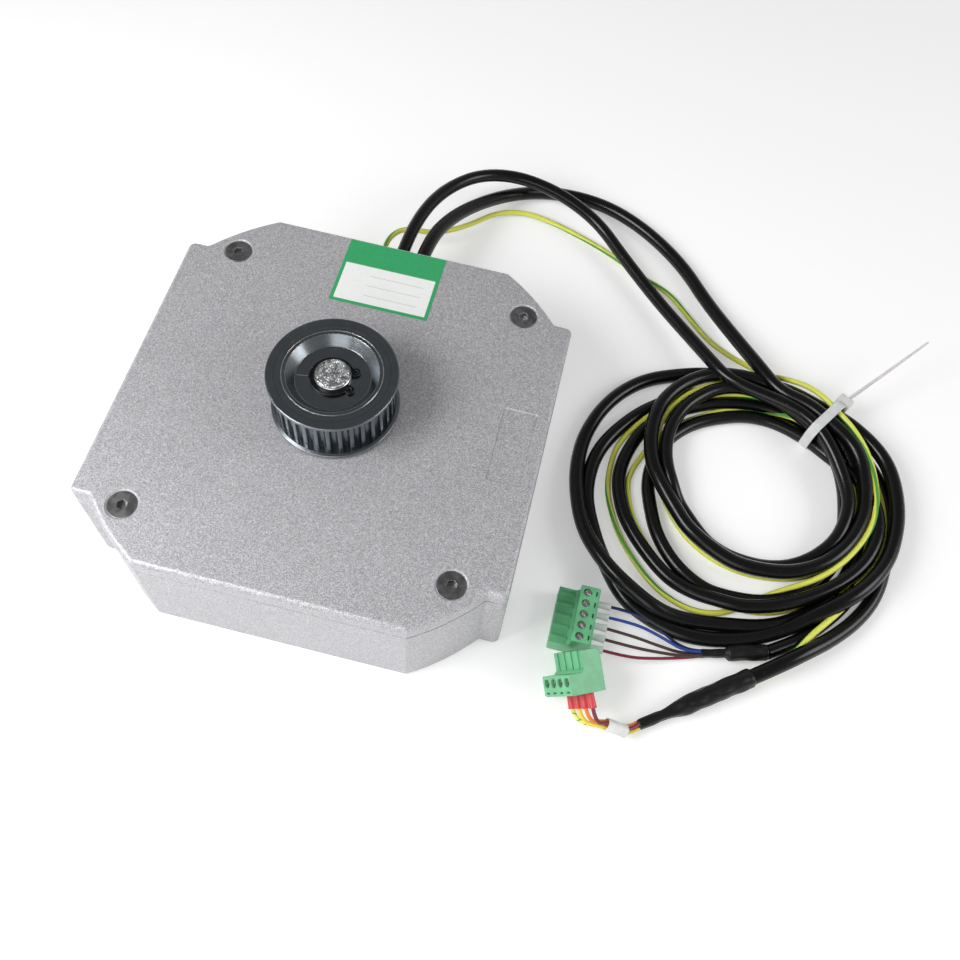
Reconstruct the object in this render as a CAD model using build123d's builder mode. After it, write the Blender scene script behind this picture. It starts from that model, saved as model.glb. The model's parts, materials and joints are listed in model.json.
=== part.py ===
"""Elevator door motor: a flat permanent-magnet motor with a toothed belt pulley and two plugged leads.

Millimetres. The origin is on the motor axis at the rear face, +Z runs along the shaft to the pulley,
+Y points to the side where the cables leave and +X to the side where their coil lies.
"""

import os
from math import cos, pi, radians, sin, sqrt, tan

from build123d import *

os.makedirs("parts", exist_ok=True)

# Casing
body_width = 180.0
ear_span = 134.0
corner_radius = 105.5
ear_rounding = 3.0
notch_rounding = 2.0
motor_height = 55.0
cover_thickness = 7.8
seal_thickness = 0.8
seal_inset = 1.2
top_rounding = 2.2
rear_rounding = 1.2
floor_thickness = 7.0
base_height = motor_height - cover_thickness - seal_thickness
cover_underside = motor_height - cover_thickness

# Fits and running clearances
fit_clearance = 0.02
easy_clearance = 0.3
air_gap = 0.8

# Stator and rotor
casing_wall = 15.0
stator_diameter = body_width - 2 * casing_wall
tooth_length = 15.2
stack_bottom = 14.0
stack_height = 26.0
stack_ledge = 4.0
slot_count = 24
tooth_width = 7.0
tooth_tip = 2.6
yoke_thickness = 9.0
stator_bore = stator_diameter - 2 * (yoke_thickness + tooth_length)
slot_opening = 3.0
coil_thickness = 2.4
coil_rise = 3.6
coil_fit = 0.2
insulator_height = 3.0
insulator_margin = 1.0
pole_count = 20
magnet_thickness = 3.5
magnet_gap = 1.6
rim_thickness = 6.0
web_thickness = 6.0
hub_diameter = 34.0
web_hole_diameter = 11.0
web_hole_count = 6

# Ball bearings, the same size front and rear
bearing_bore = 15.0
bearing_diameter = 35.0
bearing_width = 11.0
ball_diameter = 5.95
ball_circle = 25.0
ball_count = 8
race_gap = 4.3
ball_clearance = 0.06
cage_thickness = 1.6
cage_width = 7.6
front_lip = 5.0
boss_wall = 5.0
washer_thickness = 1.0

# Shaft
shoulder_diameter = 19.0
shaft_chamfer = 0.8
shaft_end_height = 78.3
centre_hole_diameter = 2.5
centre_hole_depth = 3.0

# Encoder under the rear cap
cap_diameter = 60.0
cap_thickness = 1.2
cap_setback = 0.3
recess_diameter = 46.0
recess_depth = 11.0
recess_web = 2.0
board_diameter = 43.0
board_thickness = 1.6
board_bottom = 3.4
board_screw_circle = 36.0
board_post_diameter = 6.0
board_screw_thread = 2.5
board_screw_head = 4.5
board_screw_head_height = 1.3
board_screw_bite = 4.0
sensor_size = 5.0
connector_size = (11.0, 4.0)
connector_offset = 13.0
sensor_height = 0.9
sensor_gap = 0.6
encoder_magnet_diameter = 8.0
encoder_magnet_height = 2.5
cap_screw_circle = 53.0
cap_screw_thread = 3.0
cap_screw_head = 5.3
cap_screw_bite = 3.5
cap_screw_slot = 0.7
cap_screw_slot_depth = 0.5

# Pulley
pulley_teeth = 32
belt_pitch = 5.0
pitch_line_offset = 0.5715
groove_radius = 1.5
groove_depth = 2.06
tip_rounding = 0.4
toothed_width = 19.3
flange_diameter = 54.0
flange_thickness = 1.8
flange_rounding = 0.55
spigot_diameter = 41.0
pulley_gap = 0.9
spacer_diameter = 20.0
recess_rim_diameter = 38.0
recess_floor_diameter = 31.0
pulley_recess_depth = 4.0
key_width = 5.0
key_height = 5.0
key_length = 16.0
key_depth_in_shaft = 3.0
keyway_top_clearance = 0.3
circlip_thickness = 1.0
circlip_groove_diameter = 14.3
circlip_width = 2.0
circlip_seat = 0.2
lug_radius = 1.9
lug_hole_diameter = 1.8
lug_circle = 18.8
lug_angle = 28.0

# Cover screws and rear mounting holes
screw_circle = 190.0
screw_thread = 6.0
screw_head = 12.2
screw_length = 20.0
screw_tip = 0.8
screw_setback = 0.4
screw_recess_diameter = 13.4
hex_socket = 4.0
hex_depth = 2.6
mount_spacing = 116.0
mount_hole_diameter = 6.8
mount_hole_depth = 14.0

# Bare panels on the front cover
label_width = 45.4
label_length = 36.0
label_margin = 1.6
label_centre = (3.0, body_width / 2 - label_margin - label_length / 2)
label_thickness = 0.15
panel_width = 15.2
panel_length = 36.0
panel_margin = 5.6
panel_centre = (body_width / 2 - panel_margin - panel_width / 2, -0.3)
panel_depth = 0.5
panel_rounding = 1.0

# Where the leads leave the rear housing
lead_height = 30.0
lead_centre = 4.0
lead_spacing = 10.0
signal_cable_diameter = 6.5
power_cable_diameter = 7.0
earth_wire_diameter = 2.8
grommet_height = 12.0
grommet_flange = 2.0
grommet_lip = 2.0
sleeve_length = 12.0
sleeve_wall = 1.5
pocket_width = 34.0
pocket_cut_length = 30.0
pocket_bottom = 21.0
exit_wall = 6.0
pocket_reach = 74.0

# Earth terminal in a recess of the rear housing's cable side
earth_x = -21.0
earth_z = 16.0
earth_recess_depth = 3.8
earth_recess = (20.0, 12.0)
earth_recess_x = -17.5
terminal_thickness = 1.0
ring_diameter = 8.6
earth_thread = 4.0
earth_screw_head = 7.6
earth_screw_head_height = 2.6
earth_screw_length = 8.0
barrel_x = -13.5
barrel_diameter = 4.4
barrel_start = 92.0
barrel_end = 101.0

# Terminal plugs, both of one pattern
plug_pitch = 5.08
plug_height = 16.5
plug_depth = 17.4
plug_block_depth = 8.6
plug_mating_height = 9.0
plug_end_wall = 0.3
plug_rib_height = 0.7
plug_rib_width = 1.2
clamp_hole_diameter = 3.7
clamp_screw_diameter = 3.4
clamp_screw_setback = 1.0
clamp_screw_length = 4.0
clamp_offset = 3.1
clamp_slot = 0.7
clamp_slot_turn = 50.0
probe_slot = (0.7, 2.2)
probe_offset = 1.5
wire_entry_height = 6.0
wire_entry_diameter = 3.8
wire_entry_depth = 6.0
contact_window = (2.4, 3.0)
contact_depth = 6.0
ferrule_length = 6.4
ferrule_insertion = 2.5
ferrule_root_diameter = 2.6
ferrule_mouth_diameter = 3.4
signal_wire_diameter = 1.4
power_wire_diameter = 1.7
ferrule_bore_clearance = 0.2
ferrule_bore_depth = 2.0

# Coil of the leads and its tie
coil_centre = (181.5, 29.5)
coil_half_size = (77.0, 73.5)
coil_hole_centre = (192.0, 37.0)
coil_hole_radius = 38.5
coil_height = 19.0
coil_rounding = 6.0
tie_centre = (219.5, 77.9)
tie_heading = 57.0
tie_span = 26.0
tie_thickness = 1.2
tie_width = 4.8
tie_corner = 6.0
tie_squeeze = 0.3
tie_head = (5.6, 6.6, 7.0)
tie_head_height = 13.5
tie_tail_heading = 48.0
tie_tail_length = 54.0
tie_tail_rise = 10.0
tie_tail_tip = 1.6

# Heat-shrink sleeves and marker sleeve
signal_shrink_diameter = 7.4
signal_shrink_neck = 4.4
signal_shrink_lengths = (17.0, 2.0, 10.6)
power_shrink_diameter = 9.2
power_shrink_neck = 5.2
power_shrink_lengths = (36.0, 4.0, 14.8)
marker_diameter = 5.4
marker_wall = 0.35

# Routes, each from the motor outwards
signal_lead_route = [
    (-1, 88, 30), (-1, 116, 30), (2.3, 141, 28.6), (9.5, 161, 25.5), (22.5, 177.5, 22.5),
    (41, 185.5, 19.5), (61, 183.5, 18), (78, 179, 14.5), (92.5, 172, 10.5), (106, 159.5, 9),
    (120, 141.5, 9), (134.5, 131, 5), (148, 115, 6), (160, 99, 11), (170, 89, 13),
]
power_lead_route = [
    (9, 88, 30), (9, 117, 30), (15.5, 143.5, 23.6), (28.5, 167, 15.3), (44, 185, 8), (64.5, 196, 3.5),
    (91.5, 195, 3.5), (116.5, 183.5, 3.5), (140, 164, 3.5), (155.5, 142, 4.5), (171.5, 121, 8),
    (185.5, 102.5, 12), (196, 90, 13),
]
earth_lead_route = [
    (-13.5, 101, 16), (-13.5, 114, 16), (-14, 128, 15), (-8.5, 138, 13.5), (5, 140, 12),
    (16, 147, 10), (25.5, 158, 7), (34.5, 171, 4), (48.5, 178, 2), (65, 176, 1.5),
    (84.5, 169.5, 1.5), (102, 162, 1.5), (118.5, 152, 1.5), (135.5, 145.5, 1.5), (147.5, 132.5, 1.5),
    (159, 120.5, 1.5), (171, 113.5, 1.5), (182, 109.5, 1.5), (192, 105, 3), (201, 98, 6),
]
signal_tail_route = [(226, -26, 3.4), (216.5, -35.5, 3.4), (205.5, -42.5, 3.8)]
power_tail_route = [
    (255.5, 16, 5.5), (252.5, -1.5, 4.5), (244.5, -16.5, 4.5), (232, -30.5, 6.5), (218.5, -42, 9.3),
    (209, -49.5, 8.6), (199.5, -56, 4.8),
]
earth_tail_route = [
    (243, 1, 7), (238.5, -11, 8.5), (230.5, -22, 9.8), (222.5, -31.5, 9.4), (216.5, -41, 6),
    (209.5, -48.8, 2.6), (201.5, -53.8, 2.4),
]
signal_shrink_end = (177.0, -50.0, 3.0)
power_shrink_end = (155.1, -88.0, 2.8)
marker_ends = [(150.2, -92.2, 5.0), (141.2, -92.2, 8.8)]
signal_wire_routes = [
    [(176.6, -48.8, 3), (169.7, -50.1, 2.8), (157.5, -43.8, 4.6), (145.5, -39.5, 6), (132.9, -40, 6)],
    [(176.8, -49.7, 4.2), (169.9, -51.3, 4.5), (157.5, -47.1, 5.2), (145.5, -44.6, 6), (132.9, -45.1, 6)],
    [(176.8, -49.6, 1.8), (170, -51.3, 1.1), (157.5, -51.3, 4), (145.5, -50.6, 6), (132.9, -50.2, 6)],
    [(177.1, -51, 3.7), (170.5, -53.2, 3.8), (157.5, -54.9, 5), (145.5, -55.7, 6), (132.9, -55.3, 6)],
    [(177.2, -51, 2.3), (170.5, -53.2, 1.8), (157.5, -57.7, 4.2), (145.5, -60.8, 6), (132.9, -60.4, 6)],
]
power_wire_routes = [
    [(155, -88, 4.3), (151.3, -92.4, 6.3), (141, -92.2, 10.3), (136.1, -94.5, 14.4), (133.1, -87.6, 16.8)],
    [(154.3, -87, 2.8), (150.8, -90.9, 4.8), (140.5, -90.9, 9.1), (133.8, -93.9, 9.9), (130.8, -87.1, 12.3)],
    [(155.8, -89.1, 2.8), (150.8, -93.5, 4.8), (140.5, -93.5, 9.1), (131.5, -93.4, 5.4), (128.5, -86.5, 7.8)],
    [(155.1, -88, 1.5), (150.2, -92.2, 3.6), (140, -92.2, 7.9), (129.2, -92.8, 0.9), (126.2, -85.9, 3.3)],
]


def heading(start, end):
    """Unit direction from one point to another."""
    return (Vector(*end) - Vector(*start)).normalized()


def body_outline(inset=0.0):
    """Square clipped by a circle about the motor axis, with an ear left and right, on the XY plane."""
    with BuildSketch() as outline:
        Circle(corner_radius - inset)
        Rectangle(body_width - 2 * inset, body_width - 2 * inset, mode=Mode.INTERSECT)
        Rectangle(body_width - 2 * inset, ear_span - 2 * inset)
        corners = outline.vertices()
        ears = corners.filter_by(lambda v: abs(abs(v.X) - (body_width / 2 - inset)) < 0.01)
        fillet(ears, ear_rounding)
        notches = outline.vertices().filter_by(
            lambda v: abs(abs(v.Y) - (ear_span / 2 - inset)) < 0.01 and abs(v.X) < body_width / 2 - 6
        )
        fillet(notches, notch_rounding)
    return outline.sketch


def side_plane(x, y, z):
    """Plane that faces +Y, at a point."""
    return Plane(origin=(x, y, z), x_dir=(1, 0, 0), z_dir=(0, 1, 0))


def save(part, label):
    """Label a finished piece and write it."""
    part.label = label
    export_step(part, f"parts/{label}.step")


# Places that several pieces share
stator_radius = stator_diameter / 2
bore_radius = stator_radius + fit_clearance
rotor_radius = stator_bore / 2 - air_gap
stack_top = stack_bottom + stack_height
rear_seat = recess_depth + recess_web
rear_bearing_bottom = rear_seat + washer_thickness
rear_bearing_top = rear_bearing_bottom + bearing_width
front_bearing_top = motor_height - front_lip
front_bearing_bottom = front_bearing_top - bearing_width
boss_radius = bearing_diameter / 2 + boss_wall
flange_bottom = motor_height + pulley_gap
tooth_bottom = flange_bottom + flange_thickness
tooth_top = tooth_bottom + toothed_width
pulley_top = tooth_top + flange_thickness
recess_floor = pulley_top - pulley_recess_depth
sensor_top = board_bottom + board_thickness + sensor_height
shaft_rear_end = sensor_top + sensor_gap + encoder_magnet_height
wall_face = body_width / 2
pocket_face = wall_face - exit_wall
earth_face = wall_face - earth_recess_depth
screw_places = PolarLocations(screw_circle / 2, 4, start_angle=45).locations
board_places = PolarLocations(board_screw_circle / 2, 3, start_angle=90).locations
cap_places = PolarLocations(cap_screw_circle / 2, 3, start_angle=30).locations
grommet_plane = side_plane(lead_centre, 0, lead_height)
lead_places = [(-lead_spacing / 2, 0), (lead_spacing / 2, 0)]

# Rear housing: a cast square with the stator bore, the rear bearing boss and the encoder recess
with BuildPart() as rear_housing:
    add(body_outline())
    extrude(amount=base_height)
    fillet(rear_housing.edges().group_by(Axis.Z)[0], rear_rounding)
    with BuildSketch(Plane.XY.offset(floor_thickness)):
        Circle(stator_radius - stack_ledge)
    extrude(amount=base_height - floor_thickness, mode=Mode.SUBTRACT)
    with BuildSketch(Plane.XY.offset(stack_bottom)):
        Circle(bore_radius)
    extrude(amount=base_height - stack_bottom, mode=Mode.SUBTRACT)
    with BuildSketch(Plane.XY.offset(floor_thickness)):
        Circle(cap_diameter / 2 - 1.5)
    extrude(amount=rear_seat - floor_thickness)
    with BuildSketch(Plane.XY.offset(rear_seat)):
        Circle(boss_radius)
    extrude(amount=rear_bearing_top - rear_seat)
    with BuildSketch(Plane.XY.offset(rear_seat)):
        Circle(bearing_diameter / 2 + fit_clearance)
    extrude(amount=rear_bearing_top - rear_seat, mode=Mode.SUBTRACT)
    with BuildSketch():
        Circle(shoulder_diameter / 2)
    extrude(amount=rear_seat, mode=Mode.SUBTRACT)
    with BuildSketch():
        Circle(recess_diameter / 2)
    extrude(amount=recess_depth, mode=Mode.SUBTRACT)
    with BuildSketch():
        Circle(cap_diameter / 2 + easy_clearance)
    extrude(amount=cap_setback + cap_thickness, mode=Mode.SUBTRACT)
    with BuildSketch(Plane.XY.offset(board_bottom + board_thickness)):
        with Locations(*board_places):
            Circle(board_post_diameter / 2)
    extrude(amount=recess_depth - board_bottom - board_thickness)
    with BuildSketch(Plane.XY.offset(board_bottom + board_thickness)):
        with Locations(*board_places):
            Circle(board_screw_thread / 2 + fit_clearance)
    extrude(amount=recess_depth - board_bottom - board_thickness, mode=Mode.SUBTRACT)
    with BuildSketch(Plane.XY.offset(cap_setback + cap_thickness)):
        with Locations(*cap_places):
            Circle(cap_screw_thread / 2 + fit_clearance)
    extrude(amount=1.2 * cap_screw_bite, mode=Mode.SUBTRACT)
    with BuildSketch(Plane.XY.offset(base_height)):
        with Locations(*screw_places):
            Circle(screw_thread / 2 + fit_clearance)
    extrude(amount=-(screw_length + 2 - cover_thickness), mode=Mode.SUBTRACT)
    with BuildSketch():
        with GridLocations(mount_spacing, mount_spacing, 2, 2):
            Circle(mount_hole_diameter / 2)
    extrude(amount=mount_hole_depth, mode=Mode.SUBTRACT)
    with BuildSketch(Plane.XY.offset(pocket_bottom)):
        with Locations((lead_centre, (pocket_reach - 8 + pocket_face) / 2)):
            RectangleRounded(pocket_width, pocket_face - pocket_reach + 8, 3)
    extrude(amount=base_height - pocket_bottom, mode=Mode.SUBTRACT)
    with BuildSketch(grommet_plane.offset(pocket_face - 1)):
        SlotOverall(lead_spacing + grommet_height, grommet_height)
    extrude(amount=exit_wall + 2, mode=Mode.SUBTRACT)
    with BuildSketch(side_plane(earth_recess_x, wall_face, earth_z)):
        RectangleRounded(*earth_recess, 2)
    extrude(amount=-earth_recess_depth, mode=Mode.SUBTRACT)
    with BuildSketch(side_plane(earth_x, earth_face, earth_z)):
        Circle(earth_thread / 2 + fit_clearance)
    extrude(amount=-earth_screw_length - 1, mode=Mode.SUBTRACT)
save(rear_housing.part, "rear_housing")

# Seal between the housing and its cover, a shade inside the outline
with BuildPart() as cover_seal:
    with BuildSketch(Plane.XY.offset(base_height)):
        add(body_outline(seal_inset))
        Circle(bore_radius + 1, mode=Mode.SUBTRACT)
        with Locations((lead_centre, pocket_reach)):
            Rectangle(pocket_width + 2, 2 * (pocket_face - pocket_reach) + 2, mode=Mode.SUBTRACT)
        with Locations(*screw_places):
            Circle(screw_thread / 2 + easy_clearance, mode=Mode.SUBTRACT)
    extrude(amount=seal_thickness)
save(cover_seal.part, "cover_seal")

# Front cover: plate, spigot into the stator bore, bearing boss, countersinks and the bare panel
with BuildPart() as front_cover:
    with BuildSketch(Plane.XY.offset(cover_underside)):
        add(body_outline())
    extrude(amount=cover_thickness)
    fillet(front_cover.edges().group_by(Axis.Z)[-1], top_rounding)
    with BuildSketch(Plane.XY.offset(cover_underside)):
        Circle(stator_radius - easy_clearance)
        Circle(stator_radius - stack_ledge, mode=Mode.SUBTRACT)
        with Locations((lead_centre, pocket_reach)):
            Rectangle(pocket_width + 4, pocket_cut_length, mode=Mode.SUBTRACT)
    extrude(amount=-(cover_underside - stack_top - easy_clearance))
    with BuildSketch(Plane.XY.offset(front_bearing_bottom)):
        Circle(boss_radius)
    extrude(amount=cover_underside - front_bearing_bottom)
    with BuildSketch(Plane.XY.offset(front_bearing_bottom)):
        Circle(bearing_diameter / 2 + fit_clearance)
    extrude(amount=bearing_width, mode=Mode.SUBTRACT)
    with BuildSketch(Plane.XY.offset(front_bearing_top)):
        Circle(spacer_diameter / 2 + easy_clearance)
    extrude(amount=front_lip, mode=Mode.SUBTRACT)
    with BuildSketch(Plane.XY.offset(motor_height - screw_setback)):
        with Locations(*screw_places):
            Circle(screw_recess_diameter / 2)
    extrude(amount=screw_setback, mode=Mode.SUBTRACT)
    with Locations(Plane.XY.offset(motor_height - screw_setback)):
        with Locations(*screw_places):
            CounterSinkHole(
                screw_thread / 2 + easy_clearance,
                screw_head / 2 + easy_clearance / 2,
                depth=cover_thickness,
                counter_sink_angle=90,
            )
    with BuildSketch(Plane.XY.offset(motor_height)):
        with Locations(panel_centre):
            RectangleRounded(panel_width, panel_length, panel_rounding)
    extrude(amount=-panel_depth, mode=Mode.SUBTRACT)
save(front_cover.part, "front_cover")

# Countersunk hex socket screws of the cover
with BuildPart() as cover_screws:
    with BuildSketch(Plane.XZ) as screw_profile:
        top = motor_height - screw_setback
        Polygon(
            (0, top),
            (screw_head / 2, top),
            (screw_thread / 2, top - (screw_head - screw_thread) / 2),
            (screw_thread / 2, top - screw_length + screw_tip),
            (screw_thread / 2 - screw_tip, top - screw_length),
            (0, top - screw_length),
            align=None,
        )
    revolve(axis=Axis.Z)
    with BuildSketch(Plane.XY.offset(top)):
        RegularPolygon(hex_socket / 2, 6, major_radius=False)
    extrude(amount=-hex_depth, mode=Mode.SUBTRACT)
one_screw = cover_screws.part
with BuildPart() as cover_screws:
    with Locations(*screw_places):
        add(one_screw)
save(cover_screws.part, "cover_screws")

# Blank inspection label stuck on the cover
with BuildPart() as inspection_label:
    with BuildSketch(Plane.XY.offset(motor_height)):
        with Locations(label_centre):
            Rectangle(label_width, label_length)
    extrude(amount=label_thickness)
save(inspection_label.part, "inspection_label")

# Stator core: laminated ring with slots between its teeth
slot_root = stator_radius - yoke_thickness
slot_tip = stator_bore / 2 + tooth_tip
slot_half_root = pi * slot_root / slot_count - tooth_width / 2
slot_half_tip = pi * slot_tip / slot_count - tooth_width / 2
with BuildPart() as stator_core:
    with BuildSketch(Plane.XY.offset(stack_bottom)):
        Circle(stator_radius)
        Circle(stator_bore / 2, mode=Mode.SUBTRACT)
        with PolarLocations(0, slot_count, start_angle=180 / slot_count):
            Polygon(
                (slot_tip, -slot_half_tip),
                (slot_root, -slot_half_root),
                (slot_root, slot_half_root),
                (slot_tip, slot_half_tip),
                align=None,
                mode=Mode.SUBTRACT,
            )
            Polygon(
                (slot_tip + 0.5, -slot_opening / 2),
                (slot_tip + 0.5, slot_opening / 2),
                (stator_bore / 2 - 2, slot_opening / 2),
                (stator_bore / 2 - 2, -slot_opening / 2),
                align=None,
                mode=Mode.SUBTRACT,
            )
    extrude(amount=stack_height)
save(stator_core.part, "stator_core")

# Coils: one round each tooth
coil_inner_width = tooth_width + 2 * coil_fit
coil_inner_height = stack_height + 2 * coil_fit
coil_start = slot_tip + 0.6
coil_depth = slot_root - coil_start - 0.4
with BuildPart() as stator_coils:
    with PolarLocations(0, slot_count):
        with Locations((coil_start + coil_depth / 2, 0, stack_bottom + stack_height / 2)):
            Box(coil_depth, coil_inner_width + 2 * coil_thickness, coil_inner_height + 2 * coil_rise)
            Box(coil_depth, coil_inner_width, coil_inner_height, mode=Mode.SUBTRACT)
save(stator_coils.part, "stator_coils")

# Insulating rings that part the coil ends from the casing
with BuildPart() as coil_insulators:
    for level, rise in ((stack_top, insulator_height), (stack_bottom, -insulator_height)):
        with BuildSketch(Plane.XY.offset(level)):
            Circle(stator_radius - stack_ledge - insulator_margin)
            Circle(slot_root + 0.3, mode=Mode.SUBTRACT)
        extrude(amount=rise)
save(coil_insulators.part, "coil_insulators")


def outer_race(bottom):
    """Outer ring of a bearing with its ball groove."""
    middle = bottom + bearing_width / 2
    with BuildPart() as race:
        with BuildSketch(Plane.XY.offset(bottom)):
            Circle(bearing_diameter / 2)
            Circle(ball_circle / 2 + race_gap / 2, mode=Mode.SUBTRACT)
        extrude(amount=bearing_width)
        with BuildSketch(Plane.XZ):
            with Locations((ball_circle / 2, middle)):
                Circle(ball_diameter / 2 + ball_clearance)
        revolve(axis=Axis.Z, mode=Mode.SUBTRACT)
    return race.part


def inner_race(bottom):
    """Inner ring of a bearing with its ball groove."""
    middle = bottom + bearing_width / 2
    with BuildPart() as race:
        with BuildSketch(Plane.XY.offset(bottom)):
            Circle(ball_circle / 2 - race_gap / 2)
            Circle(bearing_bore / 2 + fit_clearance, mode=Mode.SUBTRACT)
        extrude(amount=bearing_width)
        with BuildSketch(Plane.XZ):
            with Locations((ball_circle / 2, middle)):
                Circle(ball_diameter / 2 + ball_clearance)
        revolve(axis=Axis.Z, mode=Mode.SUBTRACT)
    return race.part


def ball_set(bottom):
    """Balls of a bearing."""
    with BuildPart() as balls:
        with PolarLocations(ball_circle / 2, ball_count):
            with Locations((0, 0, bottom + bearing_width / 2)):
                Sphere(ball_diameter / 2)
    return balls.part


def ball_cage(bottom):
    """Ring that keeps the balls of a bearing apart."""
    middle = bottom + bearing_width / 2
    with BuildPart() as cage:
        with BuildSketch(Plane.XY.offset(middle - cage_width / 2)):
            Circle(ball_circle / 2 + cage_thickness / 2)
            Circle(ball_circle / 2 - cage_thickness / 2, mode=Mode.SUBTRACT)
        extrude(amount=cage_width)
        with PolarLocations(0, ball_count):
            with Locations((ball_circle / 2, 0, middle)):
                Cylinder(
                    ball_diameter / 2 + ball_clearance,
                    4 * cage_thickness,
                    rotation=(0, 90, 0),
                    mode=Mode.SUBTRACT,
                )
    return cage.part


for place, bottom in (("front", front_bearing_bottom), ("rear", rear_bearing_bottom)):
    save(outer_race(bottom), f"{place}_bearing_outer_race")
    save(inner_race(bottom), f"{place}_bearing_inner_race")
    save(ball_set(bottom), f"{place}_bearing_balls")
    save(ball_cage(bottom), f"{place}_ball_cage")

# Spring washer that preloads the rear bearing
with BuildPart() as preload_washer:
    with BuildSketch(Plane.XY.offset(rear_seat)):
        Circle(bearing_diameter / 2 - 0.2)
        Circle(ball_circle / 2 + race_gap / 2 + 0.2, mode=Mode.SUBTRACT)
    extrude(amount=washer_thickness)
save(preload_washer.part, "preload_washer")

# Rear cap over the encoder, with its three screws
with BuildPart() as encoder_cap:
    with BuildSketch(Plane.XY.offset(cap_setback)):
        Circle(cap_diameter / 2)
        with Locations(*cap_places):
            Circle(cap_screw_thread / 2 + easy_clearance, mode=Mode.SUBTRACT)
    extrude(amount=cap_thickness)
    with BuildSketch(Plane.XY.offset(cap_setback)):
        with Locations(*cap_places):
            Circle(cap_screw_head / 2 + easy_clearance)
    extrude(amount=cap_thickness, taper=45, mode=Mode.SUBTRACT)
save(encoder_cap.part, "encoder_cap")

with BuildPart() as cap_screws:
    with BuildSketch(Plane.XY.offset(cap_setback)):
        with Locations(*cap_places):
            Circle(cap_screw_head / 2)
    extrude(amount=(cap_screw_head - cap_screw_thread) / 2, taper=45)
    with BuildSketch(Plane.XY.offset(cap_setback + cap_screw_slot_depth)):
        with Locations(*cap_places):
            Circle(cap_screw_thread / 2)
    extrude(amount=cap_thickness + cap_screw_bite - cap_screw_slot_depth)
    with BuildSketch(Plane.XY.offset(cap_setback)):
        with Locations(*cap_places):
            Rectangle(cap_screw_head, cap_screw_slot)
    extrude(amount=cap_screw_slot_depth, mode=Mode.SUBTRACT)
save(cap_screws.part, "encoder_cap_screws")

# Encoder board with its sensor facing the magnet on the shaft
with BuildPart() as encoder_board:
    with BuildSketch(Plane.XY.offset(board_bottom)):
        Circle(board_diameter / 2)
        with Locations(*board_places):
            Circle(board_screw_thread / 2 + easy_clearance, mode=Mode.SUBTRACT)
    extrude(amount=board_thickness)
    with BuildSketch(Plane.XY.offset(board_bottom + board_thickness)):
        Rectangle(sensor_size, sensor_size)
        with Locations((0, -connector_offset)):
            Rectangle(*connector_size)
    extrude(amount=sensor_height)
save(encoder_board.part, "encoder_board")

with BuildPart() as board_screws:
    with BuildSketch(Plane.XY.offset(board_bottom)):
        with Locations(*board_places):
            Circle(board_screw_head / 2)
    extrude(amount=-board_screw_head_height)
    with BuildSketch(Plane.XY.offset(board_bottom)):
        with Locations(*board_places):
            Circle(board_screw_thread / 2)
    extrude(amount=board_thickness + board_screw_bite)
save(board_screws.part, "encoder_board_screws")

# Shaft: bearing seats each side of a shoulder, keyway, circlip groove and centre hole
groove_bottom = recess_floor + circlip_seat - 0.05
groove_top = groove_bottom + circlip_thickness + 0.1
key_bottom = recess_floor - 0.8 - key_length
with BuildPart() as shaft:
    with BuildSketch(Plane.XY.offset(shaft_rear_end)):
        Circle(bearing_bore / 2)
    extrude(amount=shaft_end_height - shaft_rear_end)
    chamfer(shaft.edges().group_by(Axis.Z)[-1], shaft_chamfer)
    with BuildSketch(Plane.XY.offset(rear_bearing_top)):
        Circle(shoulder_diameter / 2)
    extrude(amount=front_bearing_bottom - rear_bearing_top)
    with BuildSketch(Plane.XY.offset(groove_bottom)):
        Circle(bearing_bore / 2 + 1)
        Circle(circlip_groove_diameter / 2, mode=Mode.SUBTRACT)
    extrude(amount=groove_top - groove_bottom, mode=Mode.SUBTRACT)
    with BuildSketch(Plane.XY.offset(key_bottom)):
        with Locations((-bearing_bore / 2, 0)):
            Rectangle(2 * key_depth_in_shaft, key_width + 2 * fit_clearance)
    extrude(amount=key_length, mode=Mode.SUBTRACT)
    with BuildSketch(Plane.XY.offset(shaft_end_height)):
        Circle(centre_hole_diameter / 2)
    extrude(amount=-centre_hole_depth, taper=12, mode=Mode.SUBTRACT)
save(shaft.part, "shaft")

# Rotor: hub on the shaft's shoulder, web with lightening holes, and rim under the magnets
rim_radius = rotor_radius - magnet_thickness
hub_bottom = rear_bearing_top + air_gap
hub_top = front_bearing_bottom - air_gap
web_middle = stack_bottom + stack_height / 2 + 3
with BuildPart() as rotor_hub:
    with BuildSketch(Plane.XY.offset(hub_bottom)):
        Circle(hub_diameter / 2)
    extrude(amount=hub_top - hub_bottom)
    with BuildSketch(Plane.XY.offset(web_middle - web_thickness / 2)):
        Circle(rim_radius)
    extrude(amount=web_thickness)
    with BuildSketch(Plane.XY.offset(stack_bottom)):
        Circle(rim_radius)
        Circle(rim_radius - rim_thickness, mode=Mode.SUBTRACT)
    extrude(amount=stack_height)
    with BuildSketch(Plane.XY.offset(hub_bottom)):
        Circle(shoulder_diameter / 2 + fit_clearance)
        with PolarLocations((hub_diameter / 2 + rim_radius - rim_thickness) / 2, web_hole_count):
            Circle(web_hole_diameter / 2)
    extrude(amount=stack_height, mode=Mode.SUBTRACT)
save(rotor_hub.part, "rotor_hub")

# Magnets round the rotor's rim
with BuildPart() as rotor_magnets:
    with BuildSketch(Plane.XY.offset(stack_bottom)):
        Circle(rotor_radius)
        Circle(rim_radius + fit_clearance, mode=Mode.SUBTRACT)
        with PolarLocations(rotor_radius - magnet_thickness / 2, pole_count):
            Rectangle(3 * magnet_thickness, magnet_gap, mode=Mode.SUBTRACT)
    extrude(amount=stack_height)
save(rotor_magnets.part, "rotor_magnets")

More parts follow.
